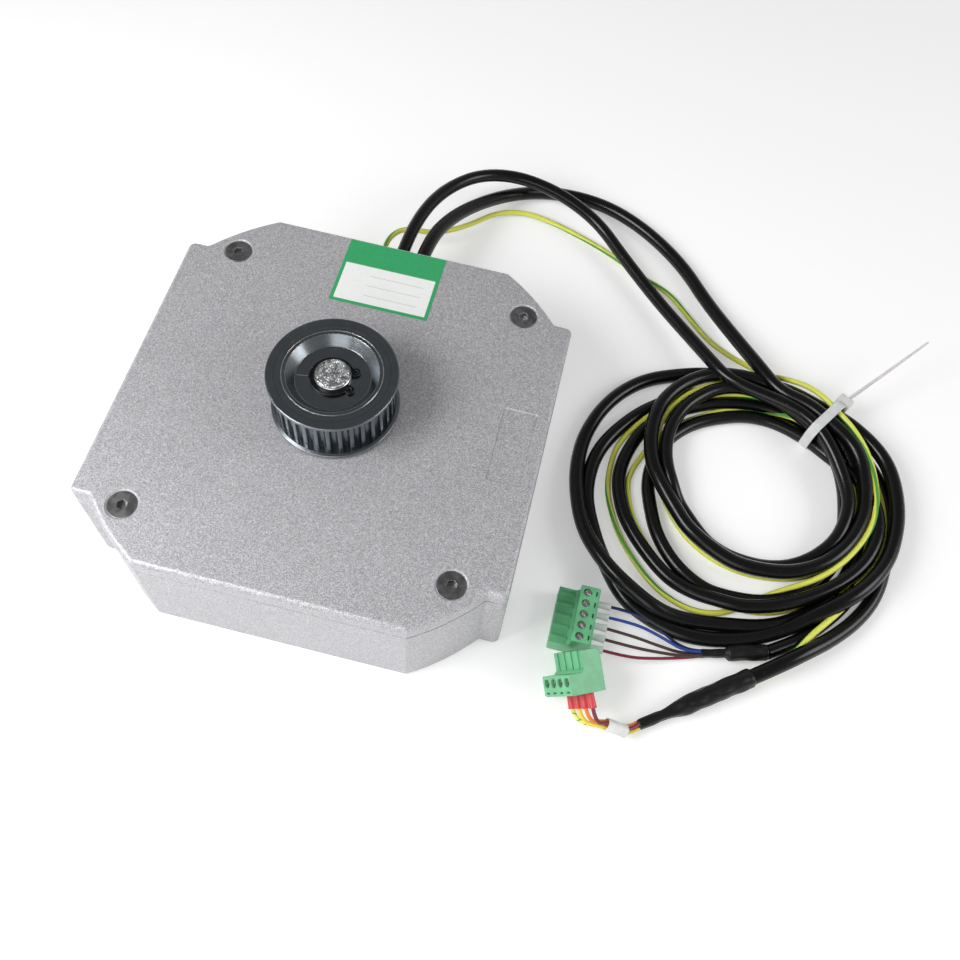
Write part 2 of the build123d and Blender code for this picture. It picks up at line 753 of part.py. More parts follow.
# Magnet on the shaft's rear end
with BuildPart() as encoder_magnet:
    with BuildSketch(Plane.XY.offset(sensor_top + sensor_gap)):
        Circle(encoder_magnet_diameter / 2)
    extrude(amount=encoder_magnet_height)
save(encoder_magnet.part, "encoder_magnet")

# Spacer sleeve between the front bearing and the pulley
with BuildPart() as pulley_spacer:
    with BuildSketch(Plane.XY.offset(front_bearing_top)):
        Circle(spacer_diameter / 2)
        Circle(bearing_bore / 2 + fit_clearance, mode=Mode.SUBTRACT)
    extrude(amount=flange_bottom - front_bearing_top)
save(pulley_spacer.part, "pulley_spacer")

# Toothed pulley: round-bottomed grooves, spigots for both flanges, recess, bore and keyway
pitch_radius = pulley_teeth * belt_pitch / (2 * pi)
tip_radius = pitch_radius - pitch_line_offset
groove_centre = tip_radius - groove_depth + groove_radius
keyway_reach = bearing_bore / 2 - key_depth_in_shaft + key_height + keyway_top_clearance
with BuildPart() as timing_pulley:
    with BuildSketch(Plane.XY.offset(tooth_bottom)) as teeth:
        Circle(tip_radius)
        with PolarLocations(groove_centre, pulley_teeth, start_angle=180 / pulley_teeth):
            Circle(groove_radius, mode=Mode.SUBTRACT)
        with PolarLocations(groove_centre + groove_radius, pulley_teeth, start_angle=180 / pulley_teeth):
            Rectangle(2 * groove_radius, 2 * groove_radius, mode=Mode.SUBTRACT)
        tips = teeth.vertices().filter_by(lambda v: sqrt(v.X**2 + v.Y**2) > tip_radius - 0.3)
        fillet(tips, tip_rounding)
    extrude(amount=toothed_width)
    with BuildSketch(Plane.XY.offset(flange_bottom)):
        Circle(spigot_diameter / 2)
    extrude(amount=pulley_top - flange_bottom)
    with BuildSketch(Plane.XY.offset(pulley_top)):
        Circle(recess_rim_diameter / 2)
    with BuildSketch(Plane.XY.offset(recess_floor)):
        Circle(recess_floor_diameter / 2)
    loft(mode=Mode.SUBTRACT)
    with BuildSketch(Plane.XY.offset(flange_bottom)):
        Circle(bearing_bore / 2 + fit_clearance)
        Rectangle(keyway_reach, key_width + 2 * fit_clearance, align=(Align.MAX, Align.CENTER))
    extrude(amount=pulley_top - flange_bottom, mode=Mode.SUBTRACT)
save(timing_pulley.part, "timing_pulley")


def belt_flange(bottom, inner_side):
    """Flange ring pressed on a spigot, with a rounded rim and a bevel on the belt's side."""
    with BuildPart() as flange:
        with BuildSketch(Plane.XY.offset(bottom)):
            Circle(flange_diameter / 2)
            Circle(spigot_diameter / 2 + fit_clearance, mode=Mode.SUBTRACT)
        extrude(amount=flange_thickness)
        rims = flange.edges().filter_by(GeomType.CIRCLE).sort_by(SortBy.RADIUS)[-2:]
        fillet(rims.sort_by(Axis.Z)[0 if inner_side > 0 else -1], flange_rounding)
        chamfer(
            flange.edges().filter_by(GeomType.CIRCLE).filter_by(
                lambda e: abs(e.radius - flange_diameter / 2) < 0.01
            ).sort_by(Axis.Z)[-1 if inner_side > 0 else 0],
            0.45,
            1.3,
        )
    return flange.part


save(belt_flange(flange_bottom, 1), "lower_flange")
save(belt_flange(tooth_top, -1), "upper_flange")

# Key between shaft and pulley
with BuildPart() as pulley_key:
    with BuildSketch(Plane.XY.offset(key_bottom + fit_clearance)):
        with Locations((-bearing_bore / 2 + key_depth_in_shaft - fit_clearance - key_height / 2, 0)):
            Rectangle(key_height, key_width)
    extrude(amount=key_length - 2 * fit_clearance)
save(pulley_key.part, "pulley_key")

# Circlip that holds the pulley, open towards +X between its two holed lugs
with BuildPart() as pulley_circlip:
    with BuildSketch(Plane.XY.offset(recess_floor + circlip_seat)):
        with Locations((-0.3, 0)):
            Circle(circlip_groove_diameter / 2 + circlip_width)
        with PolarLocations(lug_circle / 2, 2, start_angle=-lug_angle, angular_range=4 * lug_angle):
            Circle(lug_radius)
        Circle(circlip_groove_diameter / 2 + fit_clearance, mode=Mode.SUBTRACT)
        Polygon(
            (0, 0),
            (lug_circle, lug_circle * tan(radians(lug_angle - 11.5))),
            (lug_circle, -lug_circle * tan(radians(lug_angle - 11.5))),
            align=None,
            mode=Mode.SUBTRACT,
        )
        with PolarLocations(lug_circle / 2, 2, start_angle=-lug_angle, angular_range=4 * lug_angle):
            Circle(lug_hole_diameter / 2, mode=Mode.SUBTRACT)
    extrude(amount=circlip_thickness)
save(pulley_circlip.part, "pulley_circlip")

# Moulded rubber grommet with a tapered sleeve for each cable
cable_radii = (signal_cable_diameter / 2, power_cable_diameter / 2)
with BuildPart() as cable_grommet:
    with BuildSketch(grommet_plane.offset(pocket_face)):
        SlotOverall(
            lead_spacing + grommet_height - 2 * fit_clearance, grommet_height - 2 * fit_clearance
        )
    extrude(amount=exit_wall)
    with BuildSketch(grommet_plane.offset(pocket_face - grommet_lip)):
        SlotOverall(lead_spacing + grommet_height + 2, grommet_height + 2)
    extrude(amount=grommet_lip)
    with BuildSketch(grommet_plane.offset(wall_face)):
        SlotOverall(lead_spacing + grommet_height + 4, grommet_height + 4)
    extrude(amount=grommet_flange)
    with BuildSketch(grommet_plane.offset(wall_face + grommet_flange)):
        for (x, y), radius in zip(lead_places, cable_radii):
            with Locations((x, y)):
                Circle(radius + sleeve_wall)
    extrude(amount=sleeve_length, taper=2)
    with BuildSketch(grommet_plane.offset(pocket_face - grommet_lip)):
        for (x, y), radius in zip(lead_places, cable_radii):
            with Locations((x, y)):
                Circle(radius + fit_clearance)
    extrude(
        amount=grommet_lip + exit_wall + grommet_flange + sleeve_length, mode=Mode.SUBTRACT
    )
save(cable_grommet.part, "cable_grommet")

# Earth terminal: ring under a screw, tongue bent outwards and crimped barrel
with BuildPart() as earth_terminal:
    with BuildSketch(side_plane(earth_x, earth_face, earth_z)):
        Circle(ring_diameter / 2)
        with Locations(((barrel_x - earth_x) / 2, 0)):
            Rectangle(barrel_x - earth_x, barrel_diameter)
        Circle(earth_thread / 2 + easy_clearance, mode=Mode.SUBTRACT)
    extrude(amount=terminal_thickness)
    with BuildSketch(side_plane(barrel_x, earth_face, earth_z)):
        Rectangle(2 * terminal_thickness, barrel_diameter)
    extrude(amount=barrel_start - earth_face + terminal_thickness)
    with BuildSketch(side_plane(barrel_x, barrel_start, earth_z)):
        Circle(barrel_diameter / 2)
    extrude(amount=barrel_end - barrel_start)
save(earth_terminal.part, "earth_terminal")

with BuildPart() as earth_screw:
    with BuildSketch(side_plane(earth_x, earth_face + terminal_thickness, earth_z)):
        Circle(earth_screw_head / 2)
    extrude(amount=earth_screw_head_height)
    fillet(earth_screw.edges().sort_by(Axis.Y)[-1], 1.2)
    with BuildSketch(side_plane(earth_x, earth_face + terminal_thickness, earth_z)):
        Circle(earth_thread / 2)
    extrude(amount=-earth_screw_length)
save(earth_screw.part, "earth_screw")


def cord_radii(route):
    """Arc radius at each inner corner of a route: 0.45 of the shorter run over the half turn's tangent."""
    points = [Vector(*p) for p in route]
    radii = []
    for before, corner, after in zip(points, points[1:], points[2:]):
        half_turn = radians((corner - before).get_angle(after - corner)) / 2
        shorter = min((corner - before).length, (after - corner).length)
        radii.append(0.45 * shorter / tan(half_turn))
    return radii


def cord_tube(route, diameter, label):
    """Tube along straight runs joined by tangent arcs."""
    radii = cord_radii(route)
    with BuildPart() as tube:
        with BuildLine():
            path = FilletPolyline(*route, radius=radii)
        with BuildSketch(Plane(origin=route[0], z_dir=heading(route[0], route[1]))):
            Circle(diameter / 2)
        sweep()
    expected = pi * diameter**2 / 4 * path.length
    print(
        f"{label}: length {path.length:.0f}, tightest bend {min(radii):.1f}"
        f" ({min(radii) / diameter:.1f} diameters), volume over section {tube.part.volume / expected:.4f}"
    )
    save(tube.part, label)


cord_tube(signal_lead_route, signal_cable_diameter, "signal_cable_lead")
cord_tube(power_lead_route, power_cable_diameter, "power_cable_lead")
cord_tube(earth_lead_route, earth_wire_diameter, "earth_wire_lead")
cord_tube(signal_tail_route, signal_cable_diameter, "signal_cable_tail")
cord_tube(power_tail_route, power_cable_diameter, "power_cable_tail")
cord_tube(earth_tail_route, earth_wire_diameter, "earth_wire_tail")
for number, route in enumerate(signal_wire_routes, 1):
    cord_tube(route, signal_wire_diameter, f"signal_wire_{number}")
for number, route in enumerate(power_wire_routes, 1):
    cord_tube(route, power_wire_diameter, f"power_wire_{number}")

# Outer shape of the loose coil, drawn in where the tie squeezes it
across = Vector(cos(radians(tie_heading)), sin(radians(tie_heading)), 0)
tie_plane = Plane(origin=(*tie_centre, coil_height / 2), x_dir=across, z_dir=across.cross(Vector(0, 0, 1)))
squeezed_span = tie_span - 2 * tie_thickness
squeezed_height = coil_height - 2 * tie_thickness
with BuildPart() as cable_coil:
    with BuildSketch():
        with Locations(coil_centre):
            Ellipse(*coil_half_size)
        with Locations(coil_hole_centre):
            Circle(coil_hole_radius, mode=Mode.SUBTRACT)
    extrude(amount=coil_height)
    fillet(cable_coil.edges().group_by(Axis.Z)[-1], coil_rounding)
    with BuildSketch(tie_plane):
        Rectangle(2 * tie_span, 2 * coil_height)
        RectangleRounded(
            squeezed_span - 2 * fit_clearance,
            squeezed_height - 2 * fit_clearance,
            tie_corner - tie_thickness,
            mode=Mode.SUBTRACT,
        )
    extrude(amount=tie_head[2] / 2 + tie_squeeze, both=True, mode=Mode.SUBTRACT)
save(cable_coil.part, "cable_coil")

# Cable tie: strap round the coil, head on its outer side and free tail
head_radial, head_height, head_width = tie_head
head_out = tie_span / 2 + head_radial - tie_thickness
tail_start = tie_plane.from_local_coords(Vector(head_out, tie_head_height - coil_height / 2, 0))
tail_along = Vector(cos(radians(tie_tail_heading)), sin(radians(tie_tail_heading)), 0)
tail_plane = Plane(origin=tail_start, x_dir=tail_along, z_dir=tail_along.cross(Vector(0, 0, 1)))
with BuildPart() as cable_tie:
    with BuildSketch(tie_plane):
        RectangleRounded(tie_span, coil_height, tie_corner)
        RectangleRounded(
            squeezed_span, squeezed_height, tie_corner - tie_thickness, mode=Mode.SUBTRACT
        )
    extrude(amount=tie_width / 2, both=True)
    with BuildSketch(tie_plane):
        with Locations((tie_span / 2 - tie_thickness, tie_head_height - coil_height / 2)):
            Rectangle(head_radial, head_height, align=(Align.MIN, Align.CENTER))
    extrude(amount=head_width / 2, both=True)
    with BuildSketch(tail_plane):
        Polygon(
            (-tie_thickness, -tie_width / 2),
            (tie_tail_length, tie_tail_rise - tie_tail_tip / 2),
            (tie_tail_length, tie_tail_rise + tie_tail_tip / 2),
            (-tie_thickness, tie_width / 2),
            align=None,
        )
    extrude(amount=tie_thickness / 2, both=True)
save(cable_tie.part, "cable_tie")


def shrink_sleeve(start, end, wide, narrow, lengths, label):
    """Heat-shrink sleeve: a wide stretch over the cable, a short taper and a narrow neck."""
    plane = Plane(origin=start, z_dir=heading(start, end))
    full, taper, neck = lengths
    with BuildPart() as sleeve:
        with BuildSketch(plane):
            Circle(wide / 2)
        extrude(amount=full)
        with BuildSketch(plane.offset(full)):
            Circle(wide / 2)
        with BuildSketch(plane.offset(full + taper)):
            Circle(narrow / 2)
        loft()
        with BuildSketch(plane.offset(full + taper)):
            Circle(narrow / 2)
        extrude(amount=neck)
    save(sleeve.part, label)
    return plane.offset(full + taper + neck)


signal_neck = shrink_sleeve(
    signal_tail_route[-1],
    signal_shrink_end,
    signal_shrink_diameter,
    signal_shrink_neck,
    signal_shrink_lengths,
    "signal_shrink_sleeve",
)
power_neck = shrink_sleeve(
    power_tail_route[-1],
    power_shrink_end,
    power_shrink_diameter,
    power_shrink_neck,
    power_shrink_lengths,
    "power_shrink_sleeve",
)

# Marker sleeve over the motor wires
marker_plane = Plane(origin=marker_ends[0], z_dir=heading(*marker_ends))
marker_length = (Vector(*marker_ends[1]) - Vector(*marker_ends[0])).length
with BuildPart() as marker_sleeve:
    with BuildSketch(marker_plane):
        Circle(marker_diameter / 2)
        Circle(marker_diameter / 2 - marker_wall, mode=Mode.SUBTRACT)
    extrude(amount=marker_length)
save(marker_sleeve.part, "marker_sleeve")


def terminal_plug(ways, plane):
    """Pluggable terminal block: X runs along the ways, Y from the mating end to the wires, Z to the screws."""
    width = ways * plug_pitch + 2 * plug_end_wall
    block_start = plug_depth - plug_block_depth
    side = Plane(origin=(0, 0, 0), x_dir=(0, 1, 0), z_dir=(1, 0, 0))
    with BuildPart() as plug:
        with BuildSketch(side):
            Polygon(
                (0, 0.8),
                (0.8, 0),
                (plug_depth, 0),
                (plug_depth, plug_height - 0.8),
                (plug_depth - 0.8, plug_height),
                (block_start, plug_height),
                (block_start, plug_mating_height + 1.5),
                (block_start - 1.5, plug_mating_height),
                (0, plug_mating_height),
                align=None,
            )
        extrude(amount=width)
        first = plug_end_wall + plug_pitch / 2
        ways_x = [first + i * plug_pitch for i in range(ways)]
        with BuildSketch(Plane.XY.offset(plug_mating_height)):
            with Locations(*[(x, (block_start - 1.5) / 2) for x in ways_x]):
                Rectangle(plug_rib_width, block_start - 1.5)
        extrude(amount=plug_rib_height)
        with BuildSketch(Plane.XY.offset(plug_height)):
            with Locations(*[(x, block_start + clamp_offset) for x in ways_x]):
                Circle(clamp_hole_diameter / 2)
        extrude(amount=-(clamp_screw_setback + clamp_screw_length + 0.5), mode=Mode.SUBTRACT)
        with BuildSketch(Plane.XY.offset(plug_height)):
            with Locations(*[(x, plug_depth - probe_offset) for x in ways_x]):
                Rectangle(probe_slot[1], probe_slot[0])
        extrude(amount=-1.5, mode=Mode.SUBTRACT)
        rear = Plane(origin=(0, plug_depth, 0), x_dir=(-1, 0, 0), z_dir=(0, 1, 0))
        with BuildSketch(rear):
            with Locations(*[(-x, wire_entry_height) for x in ways_x]):
                Circle(wire_entry_diameter / 2)
        extrude(amount=-wire_entry_depth, mode=Mode.SUBTRACT)
        front = Plane(origin=(0, 0, 0), x_dir=(1, 0, 0), z_dir=(0, -1, 0))
        with BuildSketch(front):
            with Locations(*[(x, wire_entry_height - 1) for x in ways_x]):
                Rectangle(*contact_window)
        extrude(amount=-contact_depth, mode=Mode.SUBTRACT)
    return plane.location * plug.part


def clamp_screws(ways, plane):
    """Slotted clamp screws seen down the plug's holes."""
    y = plug_depth - plug_block_depth + clamp_offset
    seats = [(plug_end_wall + plug_pitch * (i + 0.5), y) for i in range(ways)]
    with BuildPart() as screws:
        with BuildSketch(Plane.XY.offset(plug_height - clamp_screw_setback)):
            with Locations(*seats):
                Circle(clamp_screw_diameter / 2)
        extrude(amount=-clamp_screw_length)
        with BuildSketch(Plane.XY.offset(plug_height - clamp_screw_setback)):
            with Locations(*seats):
                Rectangle(clamp_screw_diameter, clamp_slot, rotation=clamp_slot_turn)
        extrude(amount=-clamp_slot, mode=Mode.SUBTRACT)
    return plane.location * screws.part


def ferrules(ways, plane, core):
    """Flared sleeves of crimped ferrules, each seated in a wire entry."""
    with BuildPart() as sleeves:
        for way in range(ways):
            x = plug_end_wall + plug_pitch * (way + 0.5)
            seat = Plane(
                origin=(x, plug_depth - ferrule_insertion, wire_entry_height), z_dir=(0, 1, 0)
            )
            with BuildSketch(seat):
                Circle(ferrule_root_diameter / 2)
            with BuildSketch(seat.offset(ferrule_insertion + ferrule_length)):
                Circle(ferrule_mouth_diameter / 2)
            loft()
            with BuildSketch(seat.offset(ferrule_insertion + ferrule_length - ferrule_bore_depth)):
                Circle(core / 2 + ferrule_bore_clearance)
            extrude(amount=ferrule_bore_depth, mode=Mode.SUBTRACT)
    return plane.location * sleeves.part


five_way_plane = Plane(origin=(110.9, -37.2, 0), x_dir=(0, -1, 0), z_dir=(0, 0, 1))
four_way_plane = Plane(
    origin=(130.9, -66.0, 23.9), x_dir=(-0.451, 0.114, -0.885), z_dir=(-0.807, -0.475, 0.35)
)
save(terminal_plug(5, five_way_plane), "five_way_plug")
save(terminal_plug(4, four_way_plane), "four_way_plug")
with BuildPart() as plug_clamp_screws:
    add(clamp_screws(5, five_way_plane))
    add(clamp_screws(4, four_way_plane))
save(plug_clamp_screws.part, "plug_clamp_screws")
save(ferrules(5, five_way_plane, signal_wire_diameter), "signal_ferrules")
save(ferrules(4, four_way_plane, power_wire_diameter), "power_ferrules")
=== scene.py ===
"""Dressed scene of an elevator door motor: cords, finishes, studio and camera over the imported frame.

Metres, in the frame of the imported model: +Z runs along the shaft to the pulley, +Y points to the side where
the cables leave and +X to the side where their coil lies.
"""

import json
import logging
from dataclasses import dataclass
from enum import Enum
from math import cos, pi, radians, sin
from typing import Iterable, Mapping, Optional, Sequence, Union

import bmesh
import bpy
from mathutils import Matrix, Vector, noise


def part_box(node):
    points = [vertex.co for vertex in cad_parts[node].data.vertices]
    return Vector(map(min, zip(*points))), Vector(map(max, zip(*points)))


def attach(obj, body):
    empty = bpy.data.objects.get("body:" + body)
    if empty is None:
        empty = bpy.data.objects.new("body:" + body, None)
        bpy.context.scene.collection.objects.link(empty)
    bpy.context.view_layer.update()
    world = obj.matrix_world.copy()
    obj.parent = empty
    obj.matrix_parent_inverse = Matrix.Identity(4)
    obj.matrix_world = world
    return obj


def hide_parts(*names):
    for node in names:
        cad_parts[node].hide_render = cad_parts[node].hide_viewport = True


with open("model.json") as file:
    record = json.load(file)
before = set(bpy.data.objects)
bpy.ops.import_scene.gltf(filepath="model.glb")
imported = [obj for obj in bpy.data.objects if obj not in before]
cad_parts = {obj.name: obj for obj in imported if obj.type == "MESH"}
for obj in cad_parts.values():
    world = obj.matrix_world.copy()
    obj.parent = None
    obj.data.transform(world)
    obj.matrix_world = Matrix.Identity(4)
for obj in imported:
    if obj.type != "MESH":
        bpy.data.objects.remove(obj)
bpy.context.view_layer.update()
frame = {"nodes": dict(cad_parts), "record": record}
log = logging.getLogger("door_motor")

MM = 0.001
BODY = "motor_body"
Point = tuple[float, float, float]
Colour = tuple[float, float, float, float]
Piece = Union[str, bpy.types.Object]


class Slot(str, Enum):
    """Material slots of the record."""

    CAST = "cast_alloy"
    PLATED = "plated_steel"
    BLACKENED = "blackened_steel"
    PULLEY = "pulley_steel"
    BEARING = "bearing_steel"
    LAMINATION = "lamination_steel"
    COPPER = "copper_winding"
    MAGNET = "magnet_nickel"
    INSULATOR = "insulator"
    SEAL = "seal_rubber"
    GROMMET = "grommet_rubber"
    JACKET = "black_jacket"
    SHRINK = "shrink_black"
    LABEL = "label_film"
    BOARD = "board_green"
    EARTH = "earth_jacket"
    TINNED = "tinned_copper"
    PLUG = "plug_green"
    FERRULE_WHITE = "ferrule_white"
    FERRULE_RED = "ferrule_red"
    MARKER = "marker_white"
    NAVY = "wire_navy"
    BLUE = "wire_blue"
    BROWN = "wire_brown"
    MAROON = "wire_maroon"
    ORANGE = "wire_orange"
    YELLOW = "wire_yellow"
    TIE = "tie_nylon"


class FarEnd(str, Enum):
    """What a cord ends in."""

    FITTING = "fitting"
    CONNECTOR = "connector"


class Lay(str, Enum):
    """How a cord lies."""

    COILED = "coiled"
    LOOSE = "loose"


class Stiffness(str, Enum):
    """How easily a cord bends."""

    LIMP = "limp"
    MEDIUM = "medium"


# Camera of the photograph, and where its image sides and view point in the model's frame
CAMERA_PLACE = (0.08819, -0.20966, 0.41327)
CAMERA_RIGHT = (0.97119, 0.22927, 0.06504)
CAMERA_DOWN = (0.23268, -0.85325, -0.46671)
CAMERA_FORWARD = (-0.05151, 0.46840, -0.88201)
CAMERA_LENS_MM = 37.1
CAMERA_SENSOR_MM = 36.0
CAMERA_CLIP_START = 0.01

# Cables and wires
SIGNAL_DIAMETER = 0.0065
POWER_DIAMETER = 0.007
EARTH_DIAMETER = 0.0028
SIGNAL_WIRE_DIAMETER = 0.0014
POWER_WIRE_DIAMETER = 0.0017
SIGNAL_LENGTH = 1.43
POWER_LENGTH = 1.70
EARTH_LENGTH = 1.52
SIGNAL_WIRE_LENGTH = 0.045
POWER_WIRE_LENGTHS = (0.030, 0.030, 0.033, 0.035)
COIL_CENTRE = (0.192, 0.037)
COIL_STEP_DEGREES = 18.0
CORD_STEPS_ROUND = 4
CORD_STEPS_ALONG = 6
CORD_ORDER = 3

# Routes of the cables from the motor to the coil
SIGNAL_LEAD: tuple[Point, ...] = (
    (-0.001, 0.088, 0.030), (-0.001, 0.116, 0.030), (0.0023, 0.141, 0.0286), (0.0095, 0.161, 0.0255),
    (0.0225, 0.1775, 0.0225), (0.041, 0.1855, 0.0195), (0.061, 0.1835, 0.018), (0.078, 0.179, 0.0145),
    (0.0925, 0.172, 0.0105), (0.106, 0.158, 0.0085), (0.120, 0.1435, 0.0075), (0.134, 0.129, 0.0075),
    (0.148, 0.1145, 0.009), (0.160, 0.101, 0.0115), (0.171, 0.0895, 0.013),
)
POWER_LEAD: tuple[Point, ...] = (
    (0.009, 0.088, 0.030), (0.009, 0.117, 0.030), (0.0155, 0.1435, 0.0236), (0.0285, 0.167, 0.0153),
    (0.044, 0.185, 0.008), (0.0645, 0.196, 0.0035), (0.0915, 0.195, 0.0035), (0.1165, 0.1835, 0.0035),
    (0.140, 0.164, 0.0035), (0.1555, 0.142, 0.0045), (0.1715, 0.121, 0.008), (0.1855, 0.1025, 0.012),
    (0.196, 0.090, 0.013),
)
EARTH_LEAD: tuple[Point, ...] = (
    (-0.0135, 0.101, 0.016), (-0.0135, 0.114, 0.016), (-0.014, 0.128, 0.015), (-0.0085, 0.138, 0.0135),
    (0.005, 0.140, 0.012), (0.016, 0.147, 0.010), (0.0255, 0.158, 0.007), (0.0345, 0.171, 0.004),
    (0.0485, 0.178, 0.002), (0.065, 0.176, 0.0015), (0.0845, 0.1695, 0.0015), (0.102, 0.162, 0.0015),
    (0.1185, 0.152, 0.0015), (0.1355, 0.1455, 0.0015), (0.1475, 0.1325, 0.0015), (0.159, 0.1205, 0.0015),
    (0.171, 0.1135, 0.0015), (0.182, 0.1095, 0.0015), (0.192, 0.105, 0.003),
)

# Routes of the cables from the coil to the sleeves, and of the wires from there to the plugs
SIGNAL_TAIL: tuple[Point, ...] = (
    (0.226, -0.026, 0.0034), (0.2165, -0.0355, 0.0034), (0.2055, -0.0425, 0.0042),
)
POWER_TAIL: tuple[Point, ...] = (
    (0.2555, 0.016, 0.0036), (0.2525, -0.0015, 0.0036), (0.2445, -0.0165, 0.0042), (0.232, -0.0305, 0.0065),
    (0.2185, -0.042, 0.0093), (0.209, -0.0495, 0.0086), (0.1995, -0.056, 0.0059),
)
EARTH_TAIL: tuple[Point, ...] = (
    (0.243, 0.001, 0.007), (0.2385, -0.011, 0.0085), (0.2305, -0.022, 0.0098), (0.2225, -0.0315, 0.0094),
    (0.2165, -0.041, 0.006), (0.2095, -0.0488, 0.0028), (0.2015, -0.0538, 0.0032),
)
SIGNAL_SHRINK_END: Point = (0.177, -0.050, 0.0034)
POWER_SHRINK_END: Point = (0.1551, -0.088, 0.0039)
SIGNAL_WIRES: tuple[tuple[Point, ...], ...] = (
    ((0.1766, -0.0488, 0.0034), (0.1697, -0.0501, 0.0028), (0.1575, -0.0438, 0.0046),
     (0.1455, -0.0395, 0.006), (0.1329, -0.040, 0.006)),
    ((0.1768, -0.0497, 0.0046), (0.1699, -0.0513, 0.0045), (0.1575, -0.0471, 0.0052),
     (0.1455, -0.0446, 0.006), (0.1329, -0.0451, 0.006)),
    ((0.1768, -0.0496, 0.0022), (0.170, -0.0513, 0.0011), (0.1575, -0.0513, 0.004),
     (0.1455, -0.0506, 0.006), (0.1329, -0.0502, 0.006)),
    ((0.1771, -0.051, 0.0041), (0.1705, -0.0532, 0.0038), (0.1575, -0.0549, 0.005),
     (0.1455, -0.0557, 0.006), (0.1329, -0.0553, 0.006)),
    ((0.1772, -0.051, 0.0027), (0.1705, -0.0532, 0.0018), (0.1575, -0.0577, 0.0042),
     (0.1455, -0.0608, 0.006), (0.1329, -0.0604, 0.006)),
)
POWER_WIRES: tuple[tuple[Point, ...], ...] = (
    ((0.155, -0.088, 0.0054), (0.1513, -0.0924, 0.0063), (0.141, -0.0922, 0.0103),
     (0.1361, -0.0945, 0.0144), (0.1331, -0.0876, 0.0168)),
    ((0.1543, -0.087, 0.0039), (0.1508, -0.0909, 0.0048), (0.1405, -0.0909, 0.0091),
     (0.1338, -0.0939, 0.0099), (0.1308, -0.0871, 0.0123)),
    ((0.1558, -0.0891, 0.0039), (0.1508, -0.0935, 0.0048), (0.1405, -0.0935, 0.0091),
     (0.1315, -0.0934, 0.0054), (0.1285, -0.0865, 0.0078)),
    ((0.1551, -0.088, 0.0026), (0.1502, -0.0922, 0.0036), (0.140, -0.0922, 0.0079),
     (0.1292, -0.0928, 0.0009), (0.1262, -0.0859, 0.0033)),
)
SIGNAL_WIRE_SLOTS = (Slot.NAVY, Slot.BLUE, Slot.BROWN, Slot.BROWN, Slot.MAROON)
POWER_WIRE_SLOTS = (Slot.MAROON, Slot.ORANGE, Slot.YELLOW, Slot.EARTH)

# Turns in the coil, clockwise from above: heading in degrees, then distance from the coil's centre
# and height in millimetres
SIGNAL_TURNS: tuple[Point, ...] = (
    (84, 46.4, 14.6), (70, 44.6, 15.3), (56, 43, 15.5), (42, 41.2, 14.5), (28, 40.8, 12.8),
    (12, 41.9, 11.2), (358, 43.4, 10.2), (336, 43.5, 9.2), (318, 42.2, 6.2), (300, 41, 4.2),
    (265, 38.7, 3.5), (237, 38.3, 3.5), (211, 37.9, 3.8), (203, 39.3, 5.5), (194, 41, 8.6),
    (180, 44.4, 9.9), (152, 50.4, 9.9), (135, 53.3, 9.8), (116, 55.5, 9.9), (100, 54, 9.9), (84, 50, 10),
    (70, 46.5, 10.2), (56, 44.5, 10.3), (40, 44, 9.2), (25, 43.5, 6.5), (10, 43.5, 4.2), (350, 44.5, 3.4),
    (336, 47, 3.4), (318, 51, 3.4), (300, 54.5, 3.4), (280, 57.5, 3.4), (260, 58.7, 3.4), (250, 59.2, 3.4),
    (236, 57.8, 3.4), (220, 55.2, 3.4), (205, 52.2, 3.4), (191, 51.6, 3.4), (175, 50, 3.4), (160, 48, 3.4),
    (140, 45, 3.4), (116, 41.8, 3.4), (97, 41.7, 3.4), (78, 41.2, 3.8), (56, 41.2, 4.6), (44, 42.3, 4.8),
    (30, 45.4, 6.3), (18, 49.4, 8.2), (8, 53.4, 9.8), (359, 56.6, 10.2), (347, 59, 10.2), (331, 59.6, 10),
    (312, 58.7, 9.2), (288, 59.9, 8.2), (271, 62.5, 8), (261, 62.9, 7.6), (249, 64.6, 5.2),
    (236, 65.7, 3.5), (211, 66.2, 3.4), (195, 65.9, 3.4), (185, 64.9, 3.4), (174, 62.6, 3.4),
    (160, 60.2, 3.4), (145, 55.8, 3.4), (130, 52, 3.4), (115, 50.2, 3.4), (95, 49, 3.5), (75, 48.2, 3.9),
    (56, 48, 4.6), (40, 50.5, 3.8), (22, 54.5, 3.4), (0, 57.5, 3.4), (340, 60.5, 3.4), (325, 63.5, 3.4),
    (312, 67, 3.4),
)
